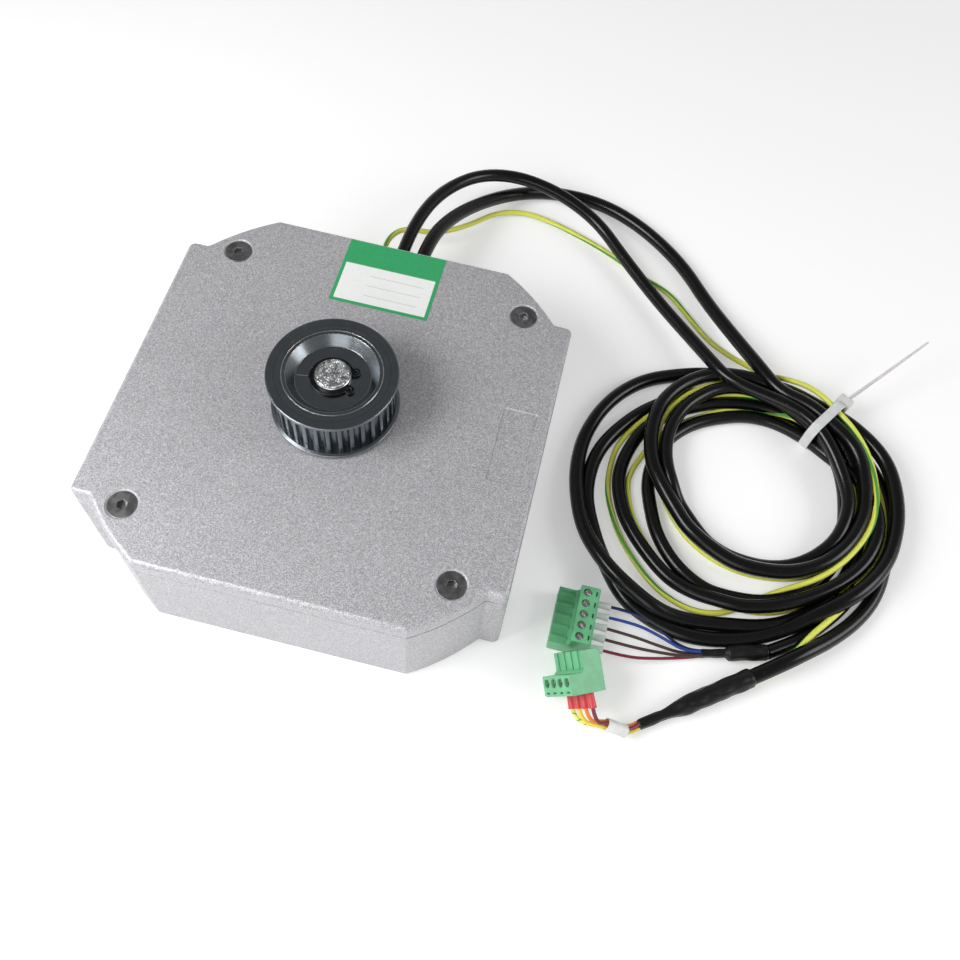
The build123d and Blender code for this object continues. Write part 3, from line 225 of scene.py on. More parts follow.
POWER_TURNS: tuple[Point, ...] = (
    (70, 51.5, 14.8), (56, 50, 15.5), (40, 52, 14.3), (28, 52.5, 12.8), (12, 51.2, 11), (0, 50.5, 10.2),
    (350, 49.6, 10.2), (336, 48.6, 10.6), (322, 47.6, 10.4), (309, 46.7, 9.8), (291, 45.2, 8.9),
    (266, 43.6, 8.5), (249, 42.4, 8.6), (227, 42.9, 8.7), (211, 43, 9), (200, 45.2, 10), (191, 47.8, 10.2),
    (182, 50.9, 10.2), (170, 54.4, 10.2), (157, 58.3, 10.2), (145, 61.5, 10.2), (131, 63.4, 10.1),
    (116, 63.5, 10.1), (100, 60.5, 10.1), (84, 56.5, 10.2), (70, 53, 10.3), (56, 51.3, 10.3),
    (40, 50.8, 8.8), (25, 50.5, 6), (10, 50.3, 3.7), (350, 52, 3.6), (335, 55, 3.6), (320, 58.5, 3.6),
    (305, 62.5, 3.6), (290, 66.5, 3.6), (278, 69, 3.6), (267, 70.9, 3.6), (256, 75.5, 3.7),
    (247, 80.4, 5.5), (240, 83.2, 8.6), (232, 84.8, 10.3), (226, 86, 10.4), (220, 87, 10.2),
    (212, 87.6, 8.8), (205, 87.2, 7.8), (196, 86.2, 6.6), (188, 85.6, 5), (180, 85, 3.8), (173, 84.4, 3.6),
    (163, 83, 3.6), (152, 80.6, 3.6), (141, 77.1, 3.6), (129, 71.5, 3.6), (117, 67.5, 4), (104, 63.5, 4.6),
    (90, 60.3, 6.2), (78, 58.8, 8.6), (56, 58.3, 10.3), (48, 61, 10.4), (32, 65, 10.4), (19, 66.4, 10.4),
    (1, 66.3, 10.4), (345, 66.4, 10.6), (335, 66.4, 11.4), (324, 66.4, 12.6), (314, 66.3, 12.4),
    (305, 66.2, 10.6), (297, 66.8, 7.8), (287, 69.8, 4.4), (276, 74.5, 3.6), (264, 79.7, 3.6),
    (254, 84.1, 3.6), (244, 86.5, 3.6), (233, 88, 3.6), (220, 84, 3.6), (212, 82.7, 3.6), (200, 81.8, 3.6),
    (191, 80.1, 3.6), (181, 77.3, 3.6), (171, 73, 3.6), (157, 67.1, 3.6), (145, 62.6, 3.6),
    (130, 58.8, 3.6), (115, 57, 3.6), (95, 55.8, 3.7), (75, 55, 4), (56, 54.8, 4.6), (40, 58, 3.9),
    (22, 62.5, 3.6), (5, 65, 3.6), (352, 66.2, 3.6),
)
EARTH_TURNS: tuple[Point, ...] = (
    (84, 65.5, 8), (74, 62.8, 13), (65, 59.5, 15.8), (56, 56.8, 16.4), (44, 56.5, 16), (30, 56.8, 14),
    (15, 56, 12.8), (0, 55.2, 12.3), (350, 54.4, 12), (338, 53, 11.4), (322, 52, 10.7), (308, 51.6, 8.6),
    (296, 51, 5.4), (285, 52, 2.4), (275, 57, 1.5), (264, 65.5, 1.5), (256, 69.5, 1.5), (248, 71.6, 1.5),
    (236, 72.5, 1.5), (216, 71.3, 1.5), (201, 70.6, 1.5), (191, 70.4, 1.5), (178, 69, 1.5),
    (170, 67.3, 2.2), (157, 63, 4.6), (145, 59.3, 5.5), (130, 55.4, 5.5), (115, 53.8, 5.8), (95, 52.4, 6),
    (75, 51.6, 6.6), (56, 51.4, 7.4), (40, 54, 6.8), (25, 55.3, 7), (10, 53.6, 7.1), (350, 55.5, 6.9),
    (335, 58.2, 6.9), (320, 61, 6.6), (308, 60, 5), (298, 59.4, 2), (285, 61.4, 1.5), (270, 62, 1.5),
    (255, 62.2, 1.5), (240, 62, 1.5), (225, 61.9, 1.5), (208, 61.8, 1.5), (192, 61.2, 1.5), (184, 59, 1.5),
    (175, 55.7, 1.5), (160, 52.6, 1.5), (148, 50, 1.5), (137, 47.6, 1.5), (119, 46.5, 1.5), (105, 47, 1.6),
    (92, 46.5, 3), (74, 46.6, 6), (56, 47.8, 7.4), (40, 47.4, 7.9), (25, 47, 7.6), (10, 46.9, 7.4),
    (350, 48, 7), (335, 51, 6.6), (320, 49.5, 3), (305, 47, 1.5), (290, 45, 1.5), (270, 43.6, 1.5),
    (250, 43, 1.5), (230, 43, 1.5), (213, 43, 1.6), (202, 44.5, 3), (192, 46.2, 6), (182, 48.4, 7.6),
    (170, 51.2, 7.7), (157, 54.4, 7.7), (145, 57, 7.6), (131, 58.4, 7.6), (116, 59.3, 7.4), (100, 58, 6.6),
    (84, 58, 5.6), (70, 59.5, 5.2), (56, 60.3, 5), (40, 60.3, 6.6), (22, 59, 6.6), (5, 61, 6.5),
    (350, 62.6, 6.5), (338, 63, 6.6),
)

Scalar = Union["Field", float]
Fed = Union["Field", float, Sequence[float]]
Socket = Union[str, int]
Inputs = Union[Sequence[Fed], Mapping[Socket, Fed]]


class Field:
    """Output socket of a node graph that can be used in sums as if it were a number.

    Args:
        graph: The graph that the socket belongs to.
        socket: The output socket.
    """

    def __init__(self, graph: "Graph", socket: bpy.types.NodeSocket) -> None:
        """Keeps the socket and its graph."""
        self.graph = graph
        self.socket = socket

    def _math(self, operation: str, first: Scalar, *others: Scalar) -> "Field":
        """Adds a Math node."""
        return self.graph.node("ShaderNodeMath", (first, *others), operation=operation)

    def __add__(self, other: Scalar) -> "Field":
        """Sum."""
        return self._math("ADD", self, other)

    def __sub__(self, other: Scalar) -> "Field":
        """Difference."""
        return self._math("SUBTRACT", self, other)

    def __rsub__(self, other: Scalar) -> "Field":
        """Difference from a number."""
        return self._math("SUBTRACT", other, self)

    def __mul__(self, other: Scalar) -> "Field":
        """Product."""
        return self._math("MULTIPLY", self, other)

    def __pow__(self, other: Scalar) -> "Field":
        """Power."""
        return self._math("POWER", self, other)

    def __abs__(self) -> "Field":
        """Size without its sign."""
        return self._math("ABSOLUTE", self)

    def wave(self) -> "Field":
        """Sine of the field, from 0 to 1."""
        return self._math("SINE", self) * 0.5 + 0.5

    def ramp(self, low: float, high: float, start: float = 0.0, end: float = 1.0) -> "Field":
        """Smooth climb from one value to another while the field goes from low to high.

        Args:
            low: Field value where the climb starts.
            high: Field value where the climb ends.
            start: Result at and below low.
            end: Result at and above high.

        Returns:
            The result as a field.
        """
        fed = (self, low, high, start, end)
        return self.graph.node("ShaderNodeMapRange", fed, interpolation_type="SMOOTHSTEP")

    def between(self, low: float, high: float, soft: float) -> "Field":
        """Mask that is 1 from low to high.

        Args:
            low: Start of the stretch.
            high: End of the stretch.
            soft: Half the width of its soft ends.

        Returns:
            The mask.
        """
        return self.ramp(low - soft, low + soft) * self.ramp(high - soft, high + soft, 1.0, 0.0)


class Graph:
    """Node graph of one material or world.

    Args:
        owner: The material or world, whose nodes are cleared.
    """

    MIX_INPUTS = (0, 6, 7)
    MIX_RESULT = 2
    BEVEL_SAMPLES = 4
    EDGE_RANGE = (0.80, 0.99)
    NOISE_ROUGHNESS = 0.55

    def __init__(self, owner: Union[bpy.types.Material, bpy.types.World]) -> None:
        """Clears the owner's nodes."""
        owner.use_nodes = True
        self.owner = owner
        self.tree = owner.node_tree
        self.tree.nodes.clear()

    def make(self, kind: str, inputs: Inputs = (), **settings: object) -> bpy.types.Node:
        """Makes a node, sets it up and feeds it.

        Args:
            kind: Type of the node.
            inputs: Values or fields for its inputs, in order or by name or index.
            **settings: Properties of the node.

        Returns:
            The node.
        """
        made = self.tree.nodes.new(kind)
        for name, value in settings.items():
            setattr(made, name, value)
        pairs = inputs.items() if isinstance(inputs, Mapping) else enumerate(inputs)
        for key, value in pairs:
            if isinstance(value, Field):
                self.tree.links.new(value.socket, made.inputs[key])
            else:
                made.inputs[key].default_value = value
        return made

    def node(self, kind: str, inputs: Inputs = (), output: Socket = 0, **settings: object) -> Field:
        """Makes a node and takes one of its outputs.

        Args:
            kind: Type of the node.
            inputs: Values or fields for its inputs.
            output: Name or index of the output.
            **settings: Properties of the node.

        Returns:
            The output as a field.
        """
        return Field(self, self.make(kind, inputs, **settings).outputs[output])

    def place(self) -> Field:
        """Position in the model's frame, in metres."""
        return self.node("ShaderNodeTexCoord", output="Object")

    def axes(self, vector: Field) -> tuple[Field, ...]:
        """Splits a vector into its three numbers."""
        split = self.make("ShaderNodeSeparateXYZ", (vector,))
        return tuple(Field(self, output) for output in split.outputs)

    def noise(self, per_metre: float, detail: float = 2.0, where: Optional[Field] = None) -> Field:
        """Soft noise around a half.

        Args:
            per_metre: Features to the metre.
            detail: Finer layers added.
            where: Place in the noise, or None for the place on the object.

        Returns:
            The noise, mostly from 0.3 to 0.7.
        """
        fed = {
            "Vector": where or self.place(), "Scale": per_metre, "Detail": detail,
            "Roughness": self.NOISE_ROUGHNESS,
        }
        return self.node("ShaderNodeTexNoise", fed)

    def cells(self, per_metre: float) -> Field:
        """Random value of each small cell, as flakes in a paint have."""
        fed = {"Vector": self.place(), "Scale": per_metre}
        return self.axes(self.node("ShaderNodeTexVoronoi", fed, output="Color"))[0]

    def blend(self, factor: Scalar, low: Fed, high: Fed) -> Field:
        """Colour between two colours."""
        fed = dict(zip(self.MIX_INPUTS, (factor, low, high)))
        return self.node("ShaderNodeMix", fed, output=self.MIX_RESULT, data_type="RGBA")

    def rounded(self, radius: float) -> Field:
        """Normal that rounds the edges off."""
        return self.node("ShaderNodeBevel", {"Radius": radius}, samples=self.BEVEL_SAMPLES)

    def edges(self, rounded: Field) -> Field:
        """From 0 on flat stretches to 1 on the edges that a rounded normal softens."""
        flat = self.node("ShaderNodeNewGeometry", output="Normal")
        both = (rounded, flat)
        alike = self.node("ShaderNodeVectorMath", both, output="Value", operation="DOT_PRODUCT")
        return alike.ramp(*self.EDGE_RANGE, 1.0, 0.0)

    def relief(self, height: Field, depth: float, strength: float, over: Optional[Field] = None) -> Field:
        """Normal bent by a height field.

        Args:
            height: Height from 0 to 1.
            depth: Depth of the whole range in metres.
            strength: How much of the bend is kept.
            over: Normal that is bent, or None for the plain one.

        Returns:
            The normal.
        """
        fed: dict[Socket, Fed] = {"Strength": strength, "Distance": depth, "Height": height}
        if over is not None:
            fed["Normal"] = over
        return self.node("ShaderNodeBump", fed)

    def surface(
        self, colour: Fed, roughness: Scalar, metallic: Scalar, normal: Field, **fixed: float,
    ) -> Field:
        """Principled shader.

        Args:
            colour: Base colour.
            roughness: Roughness.
            metallic: Metallic.
            normal: Normal.
            **fixed: Constants for other inputs, named as they are with underscores for spaces.

        Returns:
            The shader.
        """
        fed: dict[Socket, Fed] = {
            "Base Color": colour, "Roughness": roughness, "Metallic": metallic, "Normal": normal,
        }
        for name, value in fixed.items():
            fed[name.replace("_", " ").title().replace("Ior", "IOR")] = value
        return self.node("ShaderNodeBsdfPrincipled", fed)


def grey(value: float, tint: Sequence[float] = (1.0, 1.0, 1.0)) -> Colour:
    """Colour of one brightness with a slight tint."""
    return (value * tint[0], value * tint[1], value * tint[2], 1.0)


def shade(base: Colour, factor: float, lift: float = 0.0) -> Colour:
    """Darker or lighter version of a colour."""
    red, green, blue = (min(1.0, factor * part + lift) for part in base[:3])
    return (red, green, blue, 1.0)


class Finish:
    """How one kind of surface looks. Each finish below draws its own shader."""

    def draw(self, g: Graph) -> Field:
        """Draws the shader in a graph and returns it."""
        raise NotImplementedError

    def make(self, name: str) -> bpy.types.Material:
        """Makes the material.

        Args:
            name: Name of the material.

        Returns:
            The material, with the shader on its output.
        """
        graph = Graph(bpy.data.materials.new(name))
        graph.make("ShaderNodeOutputMaterial", (self.draw(graph),))
        return graph.owner


@dataclass(frozen=True)
class FlakePaint(Finish):
    """Silver paint with fine flakes over a blasted casting, with a painted highlight along its edges and
    painted glints on the brightest flakes.
    """

    dull: Colour = grey(0.355, (1.0, 0.985, 1.035))
    bright: Colour = grey(0.68, (1.0, 0.985, 1.03))
    # Pale grey of the painted highlight on the edges and the painted glints on the flakes
    painted_edge_highlight: Colour = grey(0.85, (1.0, 1.0, 1.01))
    flakes: float = 3200.0
    grains: float = 2300.0
    edge_radius: float = 0.0005

    def draw(self, g: Graph) -> Field:
        """Mixes flakes, grain and soft clouds, paints a highlight on the edges and glints on the brightest
        flakes, and bends the normal by the grain.
        """
        round_edge = g.rounded(self.edge_radius)
        edge = g.edges(round_edge)
        flake = g.cells(self.flakes)
        grain = g.noise(self.grains, 3.0)
        cloud = g.noise(22.0, 2.0)
        tone = (flake * 0.44 + grain * 0.48 + cloud * 0.08).ramp(0.30, 0.74)
        # Painted glints: the brightest flakes are lightened towards the pale grey of the painted highlight
        painted_glint = flake.ramp(0.88, 0.94)
        light = edge * 0.6 + painted_glint * 0.35
        # Painted highlight: edges and glints are blended towards the pale grey
        colour = g.blend(light.ramp(0.0, 1.0), g.blend(tone, self.dull, self.bright), self.painted_edge_highlight)
        height = g.noise(self.grains * 0.7, 3.0) + flake * 0.25
        normal = g.relief(height, 0.0002, 0.65, round_edge)
        return g.surface(colour, grain * 0.25 + 0.33 - edge * 0.08, 0.45, normal)


@dataclass(frozen=True)
class HighlightLine:
    """Painted highlight: a fine bright line on a turned face, out from the axis."""

    heading_degrees: float
    inner_radius: float
    outer_radius: float
    half_width: float = 0.00012

    def mask(self, x: Field, y: Field) -> Field:
        """Mask that is 1 on the line.

        Args:
            x: Place along X.
            y: Place along Y.

        Returns:
            The mask.
        """
        angle = radians(self.heading_degrees)
        along = x * cos(angle) + y * sin(angle)
        across = abs(y * cos(angle) - x * sin(angle))
        soft = self.half_width / 2
        return along.between(self.inner_radius, self.outer_radius, soft) * across.ramp(
            self.half_width - soft, self.half_width + soft, 1.0, 0.0
        )


@dataclass(frozen=True)
class TurnedSteel(Finish):
    """Machined steel with faint turning marks about the motor axis, and painted highlights on its edges."""

    dull: Colour
    bright: Colour
    roughness: float
    marks: float
    edge_radius: float = 0.00035
    highlight_line: Optional[HighlightLine] = None

    def draw(self, g: Graph) -> Field:
        """Runs the marks round the axis and paints highlights on the edges and along the bright line."""
        x, y, z = g.axes(g.place())
        radius = (x * x + y * y) ** 0.5
        marks = g.noise(self.marks, 2.0, g.node("ShaderNodeCombineXYZ", (radius, z, 0.0)))
        stain = g.noise(160.0, 3.0)
        round_edge = g.rounded(self.edge_radius)
        edge = g.edges(round_edge)
        # Painted highlight: the edges and the bright line are lightened towards pale grey
        bright = edge * 0.7
        if self.highlight_line:
            bright = bright + self.highlight_line.mask(x, y)
        base = g.blend(marks.ramp(0.3, 0.7) * 0.6 + stain * 0.4, self.dull, self.bright)
        colour = g.blend(bright.ramp(0.0, 1.0), base, grey(0.88))
        normal = g.relief(marks, 0.00003, 0.6, round_edge)
        return g.surface(colour, marks * 0.16 + stain * 0.16 + (self.roughness - 0.16), 1.0, normal)


@dataclass(frozen=True)
class SawnShaft(Finish):
    """Ground steel shaft whose free end is left as the saw and the hammer left it."""

    dull: Colour = grey(0.30)
    bright: Colour = grey(0.85, (0.98, 1.0, 1.02))
    end_depth: float = 0.0006
    lumps: float = 620.0
    chips: float = 1700.0

    def draw(self, g: Graph) -> Field:
        """Roughens the surface near the free end alone."""
        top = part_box("shaft")[1].z
        height = g.axes(g.place())[2]
        end = height.ramp(top - self.end_depth, top - self.end_depth / 2)
        rough = g.noise(self.lumps, 2.0) * 0.65 + g.noise(self.chips, 2.0) * 0.35
        spots = rough.ramp(0.40, 0.58)
        colour = g.blend(end * (1.0 - spots), self.bright, self.dull)
        normal = g.relief(rough * end, 0.0011, 0.9, g.rounded(0.0003))
        return g.surface(colour, rough * 0.2 + 0.14, 1.0, normal)


@dataclass(frozen=True)
class PlainSteel(Finish):
    """Plated or blackened steel with slight stains and fine scratches."""

    base: Colour
    roughness: float
    scratches: float = 4200.0
    edge_light: float = 0.5

    def draw(self, g: Graph) -> Field:
        """Stains the base and lights the edges."""
        stain = g.noise(300.0, 3.0)
        round_edge = g.rounded(0.00025)
        tone = g.blend(stain.ramp(0.35, 0.65), shade(self.base, 0.62), self.base)
        colour = g.blend(g.edges(round_edge) * self.edge_light, tone, grey(0.75))
        normal = g.relief(g.noise(self.scratches, 1.0), 0.00002, 0.5, round_edge)
        return g.surface(colour, stain * 0.2 + (self.roughness - 0.1), 1.0, normal)


@dataclass(frozen=True)
class LaminatedSteel(Finish):
    """Stack of thin electrical sheets, seen as fine lines along the axis."""

    dull: Colour = grey(0.16, (0.95, 1.0, 1.1))
    bright: Colour = grey(0.36)
    sheet: float = 0.0005

    def draw(self, g: Graph) -> Field:
        """Repeats the sheets along the axis."""
        sheets = (g.axes(g.place())[2] * (2 * pi / self.sheet)).wave()
        stain = g.noise(240.0)
        colour = g.blend(sheets * 0.5 + stain * 0.5, self.dull, self.bright)
        return g.surface(colour, stain * 0.2 + 0.35, 0.9, g.relief(sheets, 0.00005, 0.5))


@dataclass(frozen=True)
class WoundCopper(Finish):
    """Enamelled copper wire wound in layers."""

    dull: Colour = (0.30, 0.09, 0.03, 1.0)
    bright: Colour = (0.62, 0.24, 0.10, 1.0)
    wire: float = 0.0008

    def draw(self, g: Graph) -> Field:
        """Crosses the layers of wire."""
        x, y, z = g.axes(g.place())
        layers = (z * (2 * pi / self.wire)).wave() * 0.6
        strands = layers + ((x + y) * (2 * pi / (1.4 * self.wire))).wave() * 0.4
        colour = g.blend(strands, self.dull, self.bright)
        return g.surface(colour, g.noise(500.0) * 0.3 + 0.2, 0.85, g.relief(strands, 0.0002, 0.8))


@dataclass(frozen=True)
class Moulding(Finish):
    """Moulded plastic or rubber with a fine grain, soft edges and slight handling marks."""

    base: Colour
    roughness: float
    grains: float = 1800.0
    depth: float = 0.00004
    edge_light: float = 0.16

    def draw(self, g: Graph) -> Field:
        """Clouds the colour and lights the edges."""
        round_edge = g.rounded(0.0003)
        cloud = g.noise(140.0, 3.0)
        fine = g.noise(self.grains, 2.0)
        tone = g.blend(cloud.ramp(0.32, 0.68), shade(self.base, 0.82), self.base)
        light = g.edges(round_edge) * self.edge_light + fine * 0.08
        colour = g.blend(light, tone, shade(self.base, 1.25, 0.02))
        normal = g.relief(fine, self.depth, 0.6, round_edge)
        return g.surface(colour, cloud * 0.2 + fine * 0.1 + (self.roughness - 0.15), 0.0, normal)


@dataclass(frozen=True)
class Jacket(Finish):
    """Extruded cable jacket with a soft gloss, faint scuffs and dust."""

    base: Colour
    roughness: float
    depth: float = 0.00006
    scuffed: float = 0.22
    gloss: float = 0.5

    def draw(self, g: Graph) -> Field:
        """Scuffs the colour and waves the surface slightly."""
        cloud = g.noise(90.0, 3.0)
        fine = g.noise(2400.0, 2.0)
        scuff = g.noise(420.0, 4.0).ramp(0.58, 0.72)
        colour = g.blend(scuff * self.scuffed + fine * 0.04, self.base, shade(self.base, 1.3, 0.03))
        normal = g.relief(fine * 0.6 + cloud * 0.8, self.depth, 0.5)
        roughness = cloud * 0.22 + scuff * 0.12 + (self.roughness - 0.13)
        return g.surface(colour, roughness, 0.0, normal, specular_ior_level=self.gloss)


@dataclass(frozen=True)
class StripedJacket(Finish):
    """Yellow insulation with a green stripe that winds slowly round it."""

    pale: Colour = (0.70, 0.75, 0.10, 1.0)
    deep: Colour = (0.86, 0.86, 0.14, 1.0)
    stripe: Colour = (0.09, 0.34, 0.05, 1.0)
    twists: float = 9.0

    def draw(self, g: Graph) -> Field:
        """Winds the stripe by the curve's own coordinates."""
        along, about, _ = g.axes(g.node("ShaderNodeTexCoord", output="UV"))
        stripe = ((about + along * self.twists) * (2 * pi)).wave().ramp(0.90, 0.95)
        cloud = g.noise(120.0, 3.0)
        colour = g.blend(stripe, g.blend(cloud, self.pale, self.deep), self.stripe)
        return g.surface(colour, cloud * 0.2 + 0.24, 0.0, g.relief(g.noise(2400.0), 0.00004, 0.5))


@dataclass(frozen=True)
class LabelPrint(Finish):
    """Printed film: a green sheet with a bare header, and a white panel with ruled lines to write on."""

    green: Colour = (0.038, 0.37, 0.135, 1.0)
    white: Colour = grey(0.87, (0.985, 1.0, 0.985))
    ink: Colour = (0.10, 0.20, 0.16, 1.0)
    margin: float = 0.0016
    header: float = 0.0135
    soft: float = 0.00012
    lines: int = 3
    line_pitch: float = 0.0056
    line_half_width: float = 0.00012
    line_insets: tuple[float, float] = (0.0145, 0.006)

    def draw(self, g: Graph) -> Field:
        """Prints the panel and its lines inside the label's own outline."""
        low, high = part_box("inspection_label")
        x, y, _ = g.axes(g.place())
        top = high.y - self.header
        across = x.between(low.x + self.margin, high.x - self.margin, self.soft)
        panel = across * y.between(low.y + self.margin, top, self.soft)
        ruled = x.between(low.x + self.line_insets[0], high.x - self.line_insets[1], self.soft)
        middles = [top - 0.93 * self.line_pitch - row * self.line_pitch for row in range(self.lines)]
        strokes = [y.between(m - self.line_half_width, m + self.line_half_width, self.soft) for m in middles]
        lines = ruled * sum(strokes[1:], strokes[0])
        fibre = g.noise(700.0, 3.0)
        green = g.blend(fibre, shade(self.green, 0.85), shade(self.green, 1.1))
        white = g.blend(fibre, shade(self.white, 0.93), shade(self.white, 1.05))
        colour = g.blend(lines * 0.55, g.blend(panel, green, white), self.ink)
        return g.surface(colour, fibre * 0.2 + 0.28, 0.0, g.relief(g.noise(45.0, 1.0), 0.0008, 0.5))


@dataclass(frozen=True)
class CircuitBoard(Finish):
    """Circuit board with tracks and tinned pads."""

    lacquer: Colour = (0.008, 0.10, 0.035, 1.0)
    track: Colour = (0.03, 0.22, 0.08, 1.0)

    def draw(self, g: Graph) -> Field:
        """Lays tracks in a brick pattern and drops pads on them."""
        fed = {"Vector": g.place(), "Scale": 260.0, "Mortar Size": 0.03}
        tracks = g.node("ShaderNodeTexBrick", fed, output="Fac")
        pads = g.cells(420.0).ramp(0.90, 0.93)
        colour = g.blend(pads, g.blend(tracks, self.lacquer, self.track), grey(0.6))
        return g.surface(colour, 0.35 - pads * 0.1, pads * 0.9, g.relief(tracks, 0.00004, 0.6))


@dataclass(frozen=True)
class MilkyNylon(Finish):
    """Milky nylon that lets some light in."""

    thin: Colour = grey(0.62, (0.98, 1.0, 1.0))
    thick: Colour = grey(0.82)

    def draw(self, g: Graph) -> Field:
        """Clouds the nylon and scatters light in it."""
        cloud = g.noise(260.0, 2.0)
        colour = g.blend(cloud, self.thin, self.thick)
        normal = g.relief(g.noise(1600.0), 0.00003, 0.5, g.rounded(0.00025))
        roughness = cloud * 0.2 + 0.28
        return g.surface(colour, roughness, 0.0, normal, subsurface_weight=0.25, subsurface_scale=0.002)


FINISHES: dict[Slot, Finish] = {
    Slot.CAST: FlakePaint(),
    Slot.PLATED: PlainSteel(grey(0.60, (1.0, 0.98, 0.95)), 0.34),
    Slot.BLACKENED: PlainSteel(grey(0.03, (1.0, 1.0, 1.1)), 0.42, edge_light=0.25),
    Slot.PULLEY: TurnedSteel(
        grey(0.155, (0.90, 1.0, 1.08)), grey(0.30, (0.92, 1.0, 1.06)), 0.22, 5200.0, 0.0005,
        HighlightLine(190.0, 0.0095, 0.0150),
    ),
    Slot.BEARING: TurnedSteel(grey(0.45), grey(0.72), 0.18, 7000.0),
    Slot.LAMINATION: LaminatedSteel(),
    Slot.COPPER: WoundCopper(),
    Slot.MAGNET: PlainSteel(grey(0.62, (1.0, 0.98, 0.93)), 0.26),
    Slot.INSULATOR: Moulding((0.62, 0.55, 0.38, 1.0), 0.5),
    Slot.SEAL: Moulding(grey(0.03), 0.6),
    Slot.GROMMET: Moulding(grey(0.014), 0.45),
    Slot.JACKET: Jacket(grey(0.003, (1.0, 1.0, 1.15)), 0.24, scuffed=0.07, gloss=0.36),
    Slot.SHRINK: Jacket(grey(0.006), 0.38, 0.00014, 0.12, 0.36),
    Slot.LABEL: LabelPrint(),
    Slot.BOARD: CircuitBoard(),
    Slot.EARTH: StripedJacket(),
    Slot.TINNED: PlainSteel(grey(0.66), 0.3),
    Slot.PLUG: Moulding((0.165, 0.54, 0.27, 1.0), 0.36),
    Slot.FERRULE_WHITE: Moulding(grey(0.95), 0.36),
    Slot.FERRULE_RED: Moulding((0.76, 0.065, 0.075, 1.0), 0.34),
    Slot.MARKER: Moulding(grey(0.90, (1.0, 1.0, 0.98)), 0.45),
    Slot.TIE: MilkyNylon(),
}
WIRE_COLOURS: dict[Slot, Colour] = {
    Slot.NAVY: (0.010, 0.016, 0.085, 1.0),
    Slot.BLUE: (0.025, 0.06, 0.30, 1.0),
    Slot.BROWN: (0.070, 0.040, 0.035, 1.0),
    Slot.MAROON: (0.22, 0.022, 0.045, 1.0),
    Slot.ORANGE: (0.80, 0.24, 0.02, 1.0),
    Slot.YELLOW: (0.80, 0.66, 0.05, 1.0),
}
FINISHES.update({slot: Jacket(colour, 0.34, scuffed=0.1) for slot, colour in WIRE_COLOURS.items()})
NODE_FINISHES: dict[str, Finish] = {
    "shaft": SawnShaft(),
    "cover_screws": PlainSteel(grey(0.36, (1.0, 0.98, 1.0)), 0.34, edge_light=0.9),
}


class Wardrobe:
    """Materials of the scene, each made once, when it is first asked for."""

    def __init__(self) -> None:
        """Starts empty."""
        self._made: dict[str, bpy.types.Material] = {}

    def material(self, slot: Slot, node: str = "") -> bpy.types.Material:
        """Material of a slot, or of a node that has a finish of its own.

        Args:
            slot: Material slot.
            node: Name of the node, or nothing for a new piece.

        Returns:
            The material.
        """
        special = node in NODE_FINISHES
        name = f"{slot.value}_{node}" if special else slot.value
        if name not in self._made:
            finish = NODE_FINISHES[node] if special else FINISHES[slot]
            self._made[name] = finish.make(name)
        return self._made[name]


@dataclass(frozen=True)
class KeptSolids:
    """Sub-assembly whose solids keep their shape and get their finishes.

    Attributes:
        name: Name of the sub-assembly.
        nodes: Its nodes.
    """

    name: str
    nodes: tuple[str, ...]

    def dress(self, wardrobe: Wardrobe) -> None:
        """Gives each node the material of its slot in the record."""
        slots = {row["node"]: Slot(row["material_slot"]) for row in frame["record"]["subparts"]}
        for name in self.nodes:
            data = frame["nodes"][name].data
            data.materials.clear()
            data.materials.append(wardrobe.material(slots[name], name))
        log.info("%s: %d nodes dressed", self.name, len(self.nodes))


CASING = KeptSolids(
    "casing",
    ("rear_housing", "front_cover", "cover_seal", "cover_screws", "inspection_label", "encoder_cap",
     "encoder_cap_screws", "earth_screw"),
)
BELT_DRIVE = KeptSolids(
    "belt drive",
    ("shaft", "pulley_spacer", "pulley_key", "timing_pulley", "lower_flange", "upper_flange",
     "pulley_circlip"),
)
PLUGS = KeptSolids(
    "plugs",
    ("five_way_plug", "four_way_plug", "plug_clamp_screws", "signal_ferrules", "power_ferrules",
     "marker_sleeve", "earth_terminal"),
)


def remaining_solids() -> KeptSolids:
    """Nodes of no other sub-assembly: the motor's inside, and the plain solids that new pieces replace."""
    named = CASING.nodes + BELT_DRIVE.nodes + PLUGS.nodes
    rest = tuple(name for name in frame["nodes"] if name not in named)
    return KeptSolids("inside and replaced solids", rest)


@dataclass(frozen=True)
class Cord:
    """One cable or wire, drawn as a smooth open spline.

    Attributes:
        name: Name of the piece.
        points: Control points in metres.
        diameter: Diameter in metres.
        slot: Material slot.
        nodes: Nodes that the piece stands for.
        length: Real length in metres.
        far_end: What is on the far end.
        lay: How it lies.
        stiffness: How easily it bends.
    """

    name: str
    points: tuple[Point, ...]
    diameter: float
    slot: Slot
    nodes: tuple[str, ...]
    length: float
    far_end: FarEnd
    lay: Lay
    stiffness: Stiffness

    def build(self, wardrobe: Wardrobe, carried: Iterable[Piece]) -> bpy.types.Object:
        """Args:
            wardrobe: Materials of the scene.
            carried: Pieces and nodes that are on the cord. Not used.

        Returns:
            The curve object.
        """
        curve = bpy.data.curves.new(self.name, "CURVE")
        curve.dimensions = "3D"
        curve.bevel_depth = self.diameter / 2
        curve.bevel_resolution = CORD_STEPS_ROUND
        curve.resolution_u = CORD_STEPS_ALONG
        curve.use_fill_caps = True
        spline = curve.splines.new("NURBS")
        spline.points.add(len(self.points) - 1)
        for point, place in zip(spline.points, self.points):
            point.co = (*place, 1.0)
        spline.order_u = CORD_ORDER
        spline.use_endpoint_u = True
        spline.use_smooth = True
        curve.materials.append(wardrobe.material(self.slot))
        obj = bpy.data.objects.new(self.name, curve)
        bpy.context.scene.collection.objects.link(obj)
        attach(obj, BODY)
        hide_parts(*self.nodes)
        log.info("%s: %d points, %.3f m", self.name, len(self.points), self.length)
        return obj


